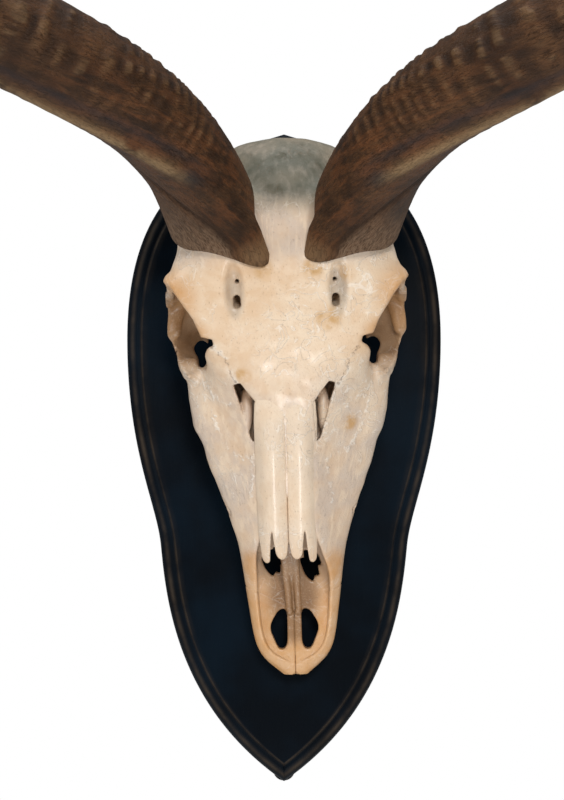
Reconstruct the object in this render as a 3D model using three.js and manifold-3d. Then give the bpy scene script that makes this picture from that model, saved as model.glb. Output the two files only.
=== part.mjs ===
// Greater kudu skull with its spiral horns, hung nose down on a black shield plaque.
// Millimetres, +Z up. The plaque's back lies on the wall plane y = 0 and the face looks along -Y.
// Left and right are the animal's own: its left side is at +X.
import * as THREE from "three";
import { mergeVertices } from "three/addons/utils/BufferGeometryUtils.js";
import Module from "manifold-3d";

const wasm = await Module();
wasm.setup();

const { degToRad } = THREE.MathUtils;

// Driving dimensions
const GAP = 0.3; // clearance kept between touching pieces

// Plaque: a routed hardwood shield
const PLAQUE_THICKNESS = 24;
const PLAQUE_HALF_WIDTH = 122.4;
const PLAQUE_APEX_Z = 252.8;
const PLAQUE_POINT_Z = -252;
const PLAQUE_WIDEST_Z = 93;
const PLAQUE_WAIST = { x: 96.2, z: -67.4, lean: 0.1 };
const OVOLO = 8.5; // quarter-round edge
const QUIRK = 1.6; // step between the edge and the raised field
const DROP_RADIUS = 8.5; // small round drop at the shield's point
const DROP_THICKNESS = 13;

// Skull: u is measured up from the tip of the muzzle, h off the plaque's face, x from the midline
const SKULL_TIP = { x: 9, z: -163.8 };
const SKULL_ROLL = degToRad(-1.5); // the muzzle hangs a little to one side
const REST_H = 0.3; // the skull rests this far off the plaque
const FIELD_CELL = 3.4;
const SKULL_TRIANGLES = 4800;
const NOSE = { tipU: 92, tipH: 66, slope: 0.37, plate: 7.5, topU: 236 };
const MUZZLE_WALL = 8;
const MUZZLE_DEPTH_U = 138; // how far back the nose is hollow
const MUZZLE_FLOOR_H = 24;
const ORBIT = { centre: [75.8, 259, 85], normal: [0.937, -0.234, 0.258], radius: 30 };
const DISH = { startX: 60, startU: 224, endU: 287, sag: 15, half: 2.8 }; // bone under the eye
const PREMAXILLA = { midU: 50, sideRise: 0.5 };
const TOOTH_ROW = { startU: 117, startX: 31, endX: 43, crownH: REST_H, rootH: 25 };
const TEETH = [
  { length: 12, width: 11 },
  { length: 14, width: 13 },
  { length: 14, width: 15 },
  { length: 19, width: 18 },
  { length: 23, width: 19 },
  { length: 23, width: 17 },
];

// Sections of the face: roof and palate heights, then half-widths at the gums, cheeks and roof
const FACE = [
  { u: -2, top: 19, palate: 11, gums: 6, cheeks: 9, roof: 6 },
  { u: 9, top: 25, palate: 10, gums: 18, cheeks: 21.5, roof: 18 },
  { u: 17, top: 28, palate: 10, gums: 23, cheeks: 27.3, roof: 23 },
  { u: 28, top: 32, palate: 11, gums: 26, cheeks: 31, roof: 26 },
  { u: 55, top: 42, palate: 14, gums: 28, cheeks: 35, roof: 28 },
  { u: 97, top: 68, palate: 18, gums: 34, cheeks: 40.5, roof: 25 },
  { u: 118, top: 76, palate: 18, gums: 39, cheeks: 46, roof: 24 },
  { u: 140, top: 84, palate: 18, gums: 43, cheeks: 53.5, roof: 25 },
  { u: 165, top: 93, palate: 18, gums: 47, cheeks: 62.5, roof: 26 },
  { u: 190, top: 102, palate: 18, gums: 50, cheeks: 68.5, roof: 29 },
  { u: 212, top: 111, palate: 18, gums: 48, cheeks: 69, roof: 42 },
  { u: 230, top: 117, palate: 20, gums: 40, cheeks: 64, roof: 58 },
  { u: 247, top: 123, palate: 22, gums: 32, cheeks: 50, roof: 74 },
  { u: 260, top: 127, palate: 24, gums: 28, cheeks: 44, roof: 92 },
  { u: 276, top: 131, palate: 25, gums: 26, cheeks: 42, roof: 106 },
  { u: 292, top: 134, palate: 26, gums: 26, cheeks: 42, roof: 113 },
  { u: 306, top: 136, palate: 26, gums: 26, cheeks: 44, roof: 103 },
  { u: 324, top: 137, palate: 26, gums: 26, cheeks: 46, roof: 92 },
];

// Nose opening: half-width between the two bony walls along the muzzle
const OPENING = [
  { u: 8, half: 2 },
  { u: 16, half: 16 },
  { u: 28, half: 23 },
  { u: 55, half: 26.5 },
  { u: 78, half: 27 },
  { u: 100, half: 24 },
];

// Edge of the forehead over the eye, and outer edge of the dish of bone under it
const SHELF_EDGE = [
  { u: 244, x: 53 },
  { u: 255, x: 56 },
  { u: 270, x: 69 },
  { u: 287, x: 80 },
  { u: 299, x: 92 },
];
const DISH_EDGE = [
  { u: 222, x: 71 },
  { u: 237, x: 79 },
  { u: 251, x: 85.5 },
  { u: 267, x: 88.8 },
  { u: 285, x: 89 },
  { u: 299, x: 87.5 },
];

// Outline of each slit through the palate, as x and u
const PALATE_SLIT = [[7, 21], [11, 19.5], [17, 31], [18, 35], [10, 48], [6.8, 47.5], [6.2, 34]];

// Horns: a keeled helix whose axis leans outwards and off the wall
const HORN_LENGTH = 1200;
const HORN_BASE = { out: 47.4, up: 177.1, off: 155 };
const HORN_CENTRE_X = -1;
const HORN_SPREAD = degToRad(31);
const HORN_RISE = degToRad(27.5);
const HORN_PITCH = { base: 21, middle: 44, tip: 30, middleAt: 0.48 };
const HORN_TURN = { base: 722, tip: 430 }; // length of horn that makes one full turn
const HORN_PHASE = degToRad(68);
const HORN_RADIUS = { base: 32, swell: 34.5, tip: 2.4 };
const KEEL = { start: degToRad(58), lag: degToRad(40), lagLength: 350, height: 0.16, width: 0.42, foot: 0.27 };
const FLANK = { start: degToRad(190), height: 0.13, width: 0.5, fadeLength: 260 };
const HORN_SUNK = 46;
const HORN_SIDES = 16;
const HORN_STEP = 25;
const HORN_CUTS = [0.25, 0.5, 0.76]; // where a horn is divided into lengths
const HORN_NAMES = ["base", "lower", "upper", "tip"];
const SEAT = { out: 45.2, up: 172.3, off: 149.6, normal: [-0.04, -0.918, 0.391] };

// Finishes
const BONE = new THREE.MeshStandardMaterial({ color: 0xd9cba6, roughness: 0.4, metalness: 0 });
const MUZZLE_BONE = new THREE.MeshStandardMaterial({ color: 0xd6bd86, roughness: 0.4, metalness: 0 });
const HORN = new THREE.MeshStandardMaterial({ color: 0x3a2a22, roughness: 0.5, metalness: 0 });
const BLACK_WOOD = new THREE.MeshStandardMaterial({ color: 0x0d0f14, roughness: 0.35, metalness: 0 });

// Small maths
const clamp = (value, low, high) => Math.min(high, Math.max(low, value));
const mix = (a, b, t) => a + (b - a) * t;

function smoothstep(low, high, value) {
  const t = clamp((value - low) / (high - low), 0, 1);
  return t * t * (3 - 2 * t);
}

// Value of one named size at u, on a smooth curve through a table's stations
function along(table, key, u) {
  const last = table.length - 1;
  let i = 0;
  while (i < last - 1 && u > table[i + 1].u) i += 1;
  const slope = (k) => {
    const a = table[Math.max(k - 1, 0)];
    const b = table[Math.min(k + 1, last)];
    return (b[key] - a[key]) / (b.u - a.u);
  };
  const a = table[i];
  const b = table[i + 1];
  const span = b.u - a.u;
  const t = clamp((u - a.u) / span, 0, 1);
  const t2 = t * t;
  const t3 = t2 * t;
  return (
    (2 * t3 - 3 * t2 + 1) * a[key] +
    (t3 - 2 * t2 + t) * span * slope(i) +
    (3 * t2 - 2 * t3) * b[key] +
    (t3 - t2) * span * slope(i + 1)
  );
}

// Distance fields: negative inside. Points are [x, u, h] on the skull's positive side.
function joined(a, b, softness) {
  const overlap = Math.max(softness - Math.abs(a - b), 0) / softness;
  return Math.min(a, b) - (overlap * overlap * softness) / 4;
}

const carved = (body, hollow, softness) => -joined(-body, hollow, softness);

function egg(p, centre, radii) {
  let near = 0;
  let far = 0;
  for (let i = 0; i < 3; i += 1) {
    const d = (p[i] - centre[i]) / radii[i];
    near += d * d;
    far += (d / radii[i]) ** 2;
  }
  const length = Math.sqrt(near);
  return (length * (length - 1)) / Math.max(Math.sqrt(far), 1e-6);
}

function block(p, centre, radii, power) {
  let sum = 0;
  for (let i = 0; i < 3; i += 1) sum += Math.abs((p[i] - centre[i]) / radii[i]) ** power;
  return (sum ** (1 / power) - 1) * Math.min(...radii);
}

function bar(p, a, b, radiusA, radiusB) {
  let dot = 0;
  let length = 0;
  for (let i = 0; i < 3; i += 1) {
    dot += (p[i] - a[i]) * (b[i] - a[i]);
    length += (b[i] - a[i]) ** 2;
  }
  const t = clamp(dot / length, 0, 1);
  const d = Math.hypot(...[0, 1, 2].map((i) => p[i] - mix(a[i], b[i], t)));
  return d - mix(radiusA, radiusB, t);
}

// Distance to a convex outline in the x and u plane, its corners listed against the clock
function slitField(x, u, corners) {
  const edges = corners.map(([ax, au], i) => {
    const [bx, bu] = corners[(i + 1) % corners.length];
    return ((x - ax) * (bu - au) - (u - au) * (bx - ax)) / Math.hypot(bx - ax, bu - au);
  });
  return Math.max(...edges);
}

// The face from muzzle to forehead: a rounded section that changes along its length
function faceField(x, u, h) {
  const top = along(FACE, "top", u);
  const palate = along(FACE, "palate", u);
  const v = (h - palate) / (top - palate);
  const middle = 0.42;
  const gums = along(FACE, "gums", u);
  const cheeks = along(FACE, "cheeks", u);
  const width =
    v < middle
      ? mix(gums, cheeks, smoothstep(0, middle, v))
      : mix(cheeks, along(FACE, "roof", u), smoothstep(middle, 1, v));
  const section = (Math.abs(x / width) ** 3.4 + Math.abs(2 * v - 1) ** 3.4) ** (1 / 3.4) - 1;
  const size = Math.min(width, (top - palate) / 2);
  return Math.max(section * size, -2 - u, u - 324);
}

// Distances along and across an eye socket's axis
function orbitAxes(p) {
  const d = p.map((value, i) => value - ORBIT.centre[i]);
  const depth = d[0] * ORBIT.normal[0] + d[1] * ORBIT.normal[1] + d[2] * ORBIT.normal[2];
  const across = Math.sqrt(Math.max(d[0] ** 2 + d[1] ** 2 + d[2] ** 2 - depth * depth, 0));
  return { depth, across };
}

// Eye socket open right through, with a thin dish of bone and the cheek arch under it
function eyeSocket(body, p) {
  const [x, u, h] = p;
  const { depth, across } = orbitAxes(p);
  let bone = carved(body, bar(p, [76, 312, 70], [72, 300, 20], 20, 24), 8);
  const cup = (Math.hypot(across / 27, (depth + 10) / 34) - 1) * 24;
  bone = carved(bone, cup, 2);
  const shelf = along(SHELF_EDGE, "x", u);
  bone = carved(bone, Math.max(shelf - x, 244 - u, u - 299, 52 - h), 2);
  const outer = along(DISH_EDGE, "x", u);
  const chord = Math.sqrt(Math.max(ORBIT.radius ** 2 - (u - ORBIT.centre[1]) ** 2, 0));
  const share = clamp((x - DISH.startX) / (outer - DISH.startX), 0, 1);
  const middle = ORBIT.centre[2] - chord - DISH.sag * (1 - share * share);
  const slab = Math.max(x - outer, DISH.startX - x, DISH.startU - u, u - DISH.endU);
  bone = joined(bone, Math.max(Math.abs(h - middle) - DISH.half, slab), 4);
  bone = joined(bone, bar(p, [85.2, 278, 66], [84.6, 296, 116], 4.4, 4), 5);
  bone = joined(bone, bar(p, [56, 200, 58], [70, 230, 66], 13, 7), 9);
  bone = joined(bone, bar(p, [85, 262, 57], [76, 303, 56], 5, 5.2), 5);
  bone = joined(bone, bar(p, [76, 303, 56], [50, 342, 58], 5.2, 10), 6);
  const gap = bar([x, u, 0], [62.5, 254, 0], [60.5, 233, 0], 6.4, 2.4);
  return carved(bone, Math.max(gap, 25 - h), 1.5);
}

function skullField(side, u, h) {
  const x = Math.abs(side);
  const p = [x, u, h];
  const face = faceField(x, u, h);

  // Outer masses
  let bone = joined(face, egg(p, [0, 345, 70], [54, 58, 62]), 12);
  bone = joined(bone, block(p, [0, 374, 62], [50, 29, 42], 3), 10);
  bone = joined(bone, bar(p, [38, 305, 96], [46, 342, 132], 30, 33), 16);
  bone = joined(bone, bar(p, [0, 232, 34], [0, 385, 40], 16, 20), 10);
  bone = eyeSocket(bone, p);

  // Underside of the braincase
  bone = joined(bone, egg(p, [17, 393, 24], [15, 13, 25]), 5);
  bone = joined(bone, bar(p, [36, 370, 42], [36, 366, 4], 10, 6), 6);
  bone = joined(bone, egg(p, [27, 343, 24], [13, 18, 16]), 5);
  bone = carved(bone, egg(p, [0, 406, 44], [12, 16, 11]), 4);

  // Nose: a hollow behind the opening, a split floor and a ridge between its halves
  const brow = NOSE.tipU - 3 + 14 * smoothstep(18, 24, x);
  const roofless = Math.max(x - along(OPENING, "half", u), u - brow, 9 - u);
  const hollow = Math.max(face + MUZZLE_WALL, u - MUZZLE_DEPTH_U);
  bone = carved(bone, Math.max(Math.min(roofless, hollow), MUZZLE_FLOOR_H - h), 2.5);
  const ridgeTop = mix(27, 50, smoothstep(44, 105, u));
  const ridge = Math.max(x - 6, 44 - u, u - 150, h - ridgeTop, 18 - h);
  bone = joined(bone, ridge, 3);
  bone = carved(bone, bar(p, [0, 40, 29], [0, 110, 52], 2, 3.2), 2);
  bone = carved(bone, Math.max(slitField(x, u, PALATE_SLIT) - 0.8, h - 45), 1.5);
  const cheekSlit = bar([x, u, 0], [25, 184, 0], [33, 216, 0], 1.2, 5);
  bone = carved(bone, Math.max(cheekSlit, 78 - h), 1.5);

  // Vault of the palate and the grooves over the eyes
  bone = carved(bone, egg(p, [0, 150, 4], [25, 95, 18]), 6);
  bone = carved(bone, egg(p, [35.5, 289, 134], [3.6, 15, 5]), 3);
  return Math.max(bone, REST_H - h);
}

// Closed surface of a field: each grid cell is split into six tetrahedra about its long diagonal
function surfaceOf(field, low, high, cell) {
  const count = low.map((value, i) => Math.ceil((high[i] - value) / cell) + 1);
  const [nx, ny, nz] = count;
  const at = (i, j, k) => (k * ny + j) * nx + i;
  const place = (index) => {
    const i = index % nx;
    const j = Math.floor(index / nx) % ny;
    const k = Math.floor(index / (nx * ny));
    return [low[0] + i * cell, low[1] + j * cell, low[2] + k * cell];
  };
  const values = new Float64Array(nx * ny * nz);
  for (let n = 0; n < values.length; n += 1) values[n] = field(...place(n));

  const positions = [];
  const triangles = [];
  const crossings = new Map();
  const crossing = (a, b) => {
    const key = Math.min(a, b) * values.length + Math.max(a, b);
    if (!crossings.has(key)) {
      const t = clamp(values[a] / (values[a] - values[b]), 0.015, 0.985);
      const pa = place(a);
      const pb = place(b);
      crossings.set(key, positions.length / 3);
      positions.push(...pa.map((value, i) => mix(value, pb[i], t)));
    }
    return crossings.get(key);
  };
  const facing = (triangle, inside, outside) => {
    const [a, b, c] = triangle.map((n) => new THREE.Vector3().fromArray(positions, n * 3));
    const normal = b.sub(a).cross(c.sub(a));
    const outward = new THREE.Vector3(...place(outside)).sub(new THREE.Vector3(...place(inside)));
    triangles.push(...(normal.dot(outward) > 0 ? triangle : [triangle[0], triangle[2], triangle[1]]));
  };
  const orders = [[0, 1, 2], [0, 2, 1], [1, 0, 2], [1, 2, 0], [2, 0, 1], [2, 1, 0]];
  for (let k = 0; k < nz - 1; k += 1) {
    for (let j = 0; j < ny - 1; j += 1) {
      for (let i = 0; i < nx - 1; i += 1) {
        for (const order of orders) {
          const corner = [i, j, k];
          const tetra = [at(...corner)];
          for (const axis of order) {
            corner[axis] += 1;
            tetra.push(at(...corner));
          }
          const inside = tetra.filter((n) => values[n] < 0);
          const outside = tetra.filter((n) => values[n] >= 0);
          if (inside.length === 1 || outside.length === 1) {
            const lone = inside.length === 1 ? inside[0] : outside[0];
            const others = inside.length === 1 ? outside : inside;
            facing(others.map((n) => crossing(lone, n)), inside[0], outside[0]);
          } else if (inside.length === 2) {
            const [a, b] = inside;
            const [c, d] = outside;
            const quad = [crossing(a, c), crossing(a, d), crossing(b, d), crossing(b, c)];
            facing([quad[0], quad[1], quad[2]], a, c);
            facing([quad[0], quad[2], quad[3]], a, c);
          }
        }
      }
    }
  }
  return { positions, triangles };
}

// Fewer triangles: the edge whose collapse moves the surface least goes first
function thinned(mesh, target) {
  const points = Float64Array.from(mesh.positions);
  const faces = Int32Array.from(mesh.triangles);
  const total = faces.length / 3;
  const around = Array.from({ length: points.length / 3 }, () => new Set());
  const quadrics = Array.from({ length: points.length / 3 }, () => new Float64Array(10));
  const alive = new Uint8Array(total).fill(1);
  const version = new Int32Array(points.length / 3);
  const point = (v) => [points[3 * v], points[3 * v + 1], points[3 * v + 2]];
  const crossOf = (a, b, c) => {
    const e = [b[0] - a[0], b[1] - a[1], b[2] - a[2]];
    const f = [c[0] - a[0], c[1] - a[1], c[2] - a[2]];
    return [e[1] * f[2] - e[2] * f[1], e[2] * f[0] - e[0] * f[2], e[0] * f[1] - e[1] * f[0]];
  };
  for (let f = 0; f < total; f += 1) {
    const corners = [faces[3 * f], faces[3 * f + 1], faces[3 * f + 2]];
    const [a, b, c] = corners.map(point);
    const n = crossOf(a, b, c);
    const area = Math.hypot(...n) || 1e-9;
    const [nx, ny, nz] = n.map((value) => value / area);
    const d = -(nx * a[0] + ny * a[1] + nz * a[2]);
    const plane = [nx * nx, nx * ny, nx * nz, nx * d, ny * ny, ny * nz, ny * d, nz * nz, nz * d, d * d];
    for (const v of corners) {
      around[v].add(f);
      plane.forEach((value, i) => (quadrics[v][i] += value * area));
    }
  }
  const error = (q, [x, y, z]) =>
    q[0] * x * x + 2 * q[1] * x * y + 2 * q[2] * x * z + 2 * q[3] * x + q[4] * y * y +
    2 * q[5] * y * z + 2 * q[6] * y + q[7] * z * z + 2 * q[8] * z + q[9];
  const neighbours = (v) => {
    const found = new Set();
    for (const f of around[v]) for (let i = 0; i < 3; i += 1) found.add(faces[3 * f + i]);
    found.delete(v);
    return found;
  };

  // A heap of edges, cheapest at the top
  const heap = [];
  const swap = (i, j) => ([heap[i], heap[j]] = [heap[j], heap[i]]);
  const push = (edge) => {
    heap.push(edge);
    let i = heap.length - 1;
    while (i > 0 && heap[(i - 1) >> 1].cost > heap[i].cost) {
      swap(i, (i - 1) >> 1);
      i = (i - 1) >> 1;
    }
  };
  const pop = () => {
    swap(0, heap.length - 1);
    const edge = heap.pop();
    let i = 0;
    for (;;) {
      let least = i;
      for (const child of [2 * i + 1, 2 * i + 2]) {
        if (child < heap.length && heap[child].cost < heap[least].cost) least = child;
      }
      if (least === i) return edge;
      swap(i, least);
      i = least;
    }
  };
  const offer = (a, b) => {
    const q = quadrics[a].map((value, i) => value + quadrics[b][i]);
    const pa = point(a);
    const pb = point(b);
    const middle = pa.map((value, i) => (value + pb[i]) / 2);
    let best = middle;
    for (const choice of [pa, pb]) if (error(q, choice) < error(q, best)) best = choice;
    const length = Math.hypot(...pa.map((value, i) => value - pb[i]));
    const cost = Math.max(error(q, best), 0) + 1e-5 * length ** 3;
    push({ cost, a, b, best, stamp: version[a] + version[b] });
  };
  const flips = (v, other, best) => {
    for (const f of around[v]) {
      const corners = [faces[3 * f], faces[3 * f + 1], faces[3 * f + 2]];
      if (corners.includes(other)) continue;
      const before = crossOf(...corners.map(point));
      const after = crossOf(...corners.map((n) => (n === v ? best : point(n))));
      const dot = before[0] * after[0] + before[1] * after[1] + before[2] * after[2];
      const area = Math.hypot(...before);
      if (area > 0.02 && dot <= 0.3 * area * Math.hypot(...after)) return true;
    }
    return false;
  };
  for (let v = 0; v < around.length; v += 1) for (const n of neighbours(v)) if (n > v) offer(v, n);

  let left = total;
  while (left > target && heap.length) {
    const { a, b, best, stamp } = pop();
    if (stamp !== version[a] + version[b] || !around[a].size || !around[b].size) continue;
    const near = neighbours(a);
    const shared = [...neighbours(b)].filter((n) => near.has(n));
    if (shared.length !== 2 || flips(a, b, best) || flips(b, a, best)) continue;
    for (const f of [...around[b]]) {
      if (around[a].has(f)) {
        alive[f] = 0;
        left -= 1;
        for (let i = 0; i < 3; i += 1) around[faces[3 * f + i]].delete(f);
      } else {
        for (let i = 0; i < 3; i += 1) if (faces[3 * f + i] === b) faces[3 * f + i] = a;
        around[a].add(f);
      }
    }
    around[b].clear();
    points.set(best, 3 * a);
    quadrics[a].forEach((value, i) => (quadrics[a][i] = value + quadrics[b][i]));
    version[b] += 1;
    const ring = neighbours(a);
    version[a] += 1;
    for (const n of ring) offer(a, n);
  }

  const renumber = new Map();
  const positions = [];
  const triangles = [];
  for (let f = 0; f < total; f += 1) {
    if (!alive[f]) continue;
    for (let i = 0; i < 3; i += 1) {
      const v = faces[3 * f + i];
      if (!renumber.has(v)) {
        renumber.set(v, positions.length / 3);
        positions.push(...point(v));
      }
      triangles.push(renumber.get(v));
    }
  }
  return { positions, triangles };
}

// Solids
function geometryOf({ positions, triangles }) {
  const geometry = new THREE.BufferGeometry();
  geometry.setAttribute("position", new THREE.Float32BufferAttribute(positions, 3));
  geometry.setIndex([...triangles]);
  return geometry;
}

function solidOf(geometry) {
  const bare = geometry.clone();
  bare.deleteAttribute("normal");
  bare.deleteAttribute("uv");
  const merged = mergeVertices(bare, 1e-4);
  const vertProperties = Float32Array.from(merged.attributes.position.array);
  const triVerts = Uint32Array.from(merged.index.array);
  return new wasm.Manifold(new wasm.Mesh({ numProp: 3, vertProperties, triVerts }));
}

function meshOf(name, solid, material) {
  const bodies = solid.decompose().sort((a, b) => b.volume() - a.volume());
  const { vertProperties, triVerts } = bodies[0].getMesh();
  const geometry = geometryOf({ positions: vertProperties, triangles: triVerts });
  geometry.computeVertexNormals();
  const mesh = new THREE.Mesh(geometry, material);
  mesh.name = name;
  return mesh;
}

// A prism whose outline is drawn as the viewer sees it, from the height base towards the viewer
function prismOf(shape, base, height, curveSegments = 12) {
  const geometry = new THREE.ExtrudeGeometry(shape, { depth: height, bevelEnabled: false, curveSegments });
  return geometry.rotateX(Math.PI / 2).translate(0, -base, 0);
}

const outline = (...corners) => new THREE.Shape(corners.map(([x, z]) => new THREE.Vector2(x, z)));

// Plaque
function shieldShape() {
  const lean = new THREE.Vector2(PLAQUE_WAIST.lean, 1).normalize();
  const waist = (reach) => [PLAQUE_WAIST.x + lean.x * reach, PLAQUE_WAIST.z + lean.y * reach];
  const shape = new THREE.Shape();
  shape.moveTo(0, PLAQUE_POINT_Z);
  shape.bezierCurveTo(85.5, -193, ...waist(-38.7), ...waist(0));
  shape.bezierCurveTo(...waist(32.7), PLAQUE_HALF_WIDTH, 5.8, PLAQUE_HALF_WIDTH, PLAQUE_WIDEST_Z);
  shape.bezierCurveTo(PLAQUE_HALF_WIDTH, 222.3, 47, 238.2, 0, PLAQUE_APEX_Z);
  shape.bezierCurveTo(-47, 238.2, -PLAQUE_HALF_WIDTH, 222.3, -PLAQUE_HALF_WIDTH, PLAQUE_WIDEST_Z);
  const [reachX, reachZ] = waist(32.7);
  shape.bezierCurveTo(-PLAQUE_HALF_WIDTH, 5.8, -reachX, reachZ, -PLAQUE_WAIST.x, PLAQUE_WAIST.z);
  const [lowX, lowZ] = waist(-38.7);
  shape.bezierCurveTo(-lowX, lowZ, -85.5, -193, 0, PLAQUE_POINT_Z);
  return shape;
}

function plaqueSolid() {
  const shape = shieldShape();
  const shoulder = PLAQUE_THICKNESS - QUIRK;
  const routed = { bevelEnabled: true, curveSegments: 11, steps: 1 };
  const board = new THREE.ExtrudeGeometry(shape, {
    ...routed,
    depth: shoulder,
    bevelThickness: OVOLO,
    bevelSize: OVOLO,
    bevelOffset: -OVOLO,
    bevelSegments: 4,
  });
  board.translate(0, 0, -OVOLO).rotateX(Math.PI / 2);
  const field = new THREE.ExtrudeGeometry(shape, {
    ...routed,
    depth: PLAQUE_THICKNESS - QUIRK,
    bevelThickness: QUIRK / 2,
    bevelSize: QUIRK / 2,
    bevelOffset: -OVOLO - 2 * QUIRK,
    bevelSegments: 1,
  });
  field.translate(0, 0, QUIRK / 2).rotateX(Math.PI / 2);
  const drop = new THREE.CylinderGeometry(DROP_RADIUS, DROP_RADIUS, DROP_THICKNESS, 20);
  drop.translate(0, -DROP_THICKNESS / 2, PLAQUE_POINT_Z + DROP_RADIUS);
  const wall = new THREE.BoxGeometry(400, 100, 800).translate(0, 50, 0);
  return solidOf(board).add(solidOf(field)).add(solidOf(drop)).subtract(solidOf(wall));
}

// Horns: out, off and up are distances from the midline, off the wall and up
function hornTrack() {
  const axis = new THREE.Vector3(
    Math.sin(HORN_SPREAD) * Math.cos(HORN_RISE),
    -Math.sin(HORN_RISE),
    Math.cos(HORN_SPREAD) * Math.cos(HORN_RISE),
  );
  const inward = new THREE.Vector3(-Math.cos(HORN_SPREAD), 0, Math.sin(HORN_SPREAD));
  const front = new THREE.Vector3().crossVectors(inward, axis);
  if (front.y > 0) front.negate();
  const direction = (t, phase) => {
    const { base, middle, tip, middleAt } = HORN_PITCH;
    const early = mix(base, middle, smoothstep(0, middleAt, t));
    const pitch = degToRad(t < middleAt ? early : mix(middle, tip, smoothstep(middleAt, 1, t)));
    const across = inward.clone().multiplyScalar(Math.cos(phase));
    across.addScaledVector(front, Math.sin(phase));
    return axis.clone().multiplyScalar(Math.cos(pitch)).addScaledVector(across, Math.sin(pitch));
  };
  const step = 2;
  const stops = [];
  const point = new THREE.Vector3(HORN_BASE.out, -HORN_BASE.off, HORN_BASE.up);
  let phase = HORN_PHASE;
  for (let s = 0; s <= HORN_LENGTH; s += step) {
    const t = s / HORN_LENGTH;
    const tangent = direction(t, phase);
    stops.push({ point: point.clone(), tangent, phase });
    point.addScaledVector(tangent, step);
    phase += (2 * Math.PI * step) / mix(HORN_TURN.base, HORN_TURN.tip, t);
  }
  return (s) => {
    const index = clamp(s / step, 0, stops.length - 1);
    const low = Math.min(Math.floor(index), stops.length - 2);
    const a = stops[low];
    const b = stops[low + 1];
    const tangent = a.tangent.clone().lerp(b.tangent, index - low).normalize();
    const centre = a.point.clone().lerp(b.point, index - low);
    if (s < 0) centre.addScaledVector(tangent, s);
    const right = inward.clone().addScaledVector(tangent, -inward.dot(tangent)).normalize();
    const up = new THREE.Vector3().crossVectors(right, tangent);
    if (up.dot(front) < 0) up.negate();
    return { centre, right, up, turned: mix(a.phase, b.phase, index - low) - HORN_PHASE };
  };
}

const hornAt = hornTrack();

// Half-width of the horn at an angle round its section, with its keel and flank
function hornRadius(s, angle, turned) {
  const t = clamp(s / HORN_LENGTH, 0, 1);
  const swell = mix(HORN_RADIUS.base, HORN_RADIUS.swell, smoothstep(0, 260, s));
  const taper = Math.max(1 - t ** 1.8, 0) ** 0.85;
  const bump = (centre, width) => {
    const away = Math.atan2(Math.sin(angle - centre), Math.cos(angle - centre));
    return Math.exp(-((away / width) ** 2));
  };
  const keelAngle = KEEL.start + turned - KEEL.lag * smoothstep(0, KEEL.lagLength, s);
  const foot = KEEL.foot * (1 - smoothstep(-30, 14, s));
  const keel = (KEEL.height + foot) * bump(keelAngle, KEEL.width);
  const flank = FLANK.height * bump(FLANK.start + turned, FLANK.width);
  const fade = 1 - smoothstep(0, FLANK.fadeLength, s);
  return Math.max(swell * taper, HORN_RADIUS.tip) * (1 + keel + flank * fade);
}

function hornLength(side, from, to, grow = 0) {
  const rings = Math.max(2, Math.ceil((to - from) / HORN_STEP) + 1);
  const positions = [];
  const triangles = [];
  for (let k = 0; k < rings; k += 1) {
    const s = mix(from, to, k / (rings - 1));
    const { centre, right, up, turned } = hornAt(s);
    for (let i = 0; i < HORN_SIDES; i += 1) {
      const angle = (2 * Math.PI * i) / HORN_SIDES + turned;
      const radius = hornRadius(s, angle, turned) + grow;
      const p = centre.clone().addScaledVector(right, radius * Math.cos(angle));
      p.addScaledVector(up, radius * Math.sin(angle));
      positions.push(HORN_CENTRE_X + side * p.x, p.y, p.z);
    }
  }
  for (const s of [from, to]) {
    const { centre } = hornAt(s);
    positions.push(HORN_CENTRE_X + side * centre.x, centre.y, centre.z);
  }
  const first = rings * HORN_SIDES;
  for (let i = 0; i < HORN_SIDES; i += 1) {
    const next = (i + 1) % HORN_SIDES;
    for (let k = 0; k < rings - 1; k += 1) {
      const a = k * HORN_SIDES;
      const b = a + HORN_SIDES;
      triangles.push(a + i, a + next, b + next, a + i, b + next, b + i);
    }
    const end = (rings - 1) * HORN_SIDES;
    triangles.push(first, next, i, first + 1, end + i, end + next);
  }
  if (side < 0) triangles.reverse();
  return geometryOf({ positions, triangles });
}

// A slab on the seat plane between horn and skull, reaching up the horn or down into the skull
function seatSlab(side, offset, reach) {
  const normal = new THREE.Vector3(side * SEAT.normal[0], SEAT.normal[1], SEAT.normal[2]).normalize();
  const slab = new THREE.BoxGeometry(300, 300, Math.abs(reach));
  slab.translate(0, 0, offset + reach / 2);
  slab.applyQuaternion(new THREE.Quaternion().setFromUnitVectors(new THREE.Vector3(0, 0, 1), normal));
  return slab.translate(HORN_CENTRE_X + side * SEAT.out, -SEAT.off, SEAT.up);
}

// Assembly
const mount = new THREE.Group();
const skull = new THREE.Group();
const horns = new THREE.Group();
mount.add(skull, horns);
mount.add(meshOf("plaque", plaqueSolid(), BLACK_WOOD));

skull.position.set(SKULL_TIP.x, -PLAQUE_THICKNESS, SKULL_TIP.z);
skull.rotation.y = SKULL_ROLL;
skull.updateMatrixWorld();
const intoSkull = skull.matrixWorld.clone().invert();

const boneSurface = surfaceOf(
  (x, y, z) => skullField(x, z, -y),
  [-100, -170, -8],
  [100, 6, 416],
  FIELD_CELL,
);
let bones = solidOf(geometryOf(thinned(boneSurface, SKULL_TRIANGLES)));

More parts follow.
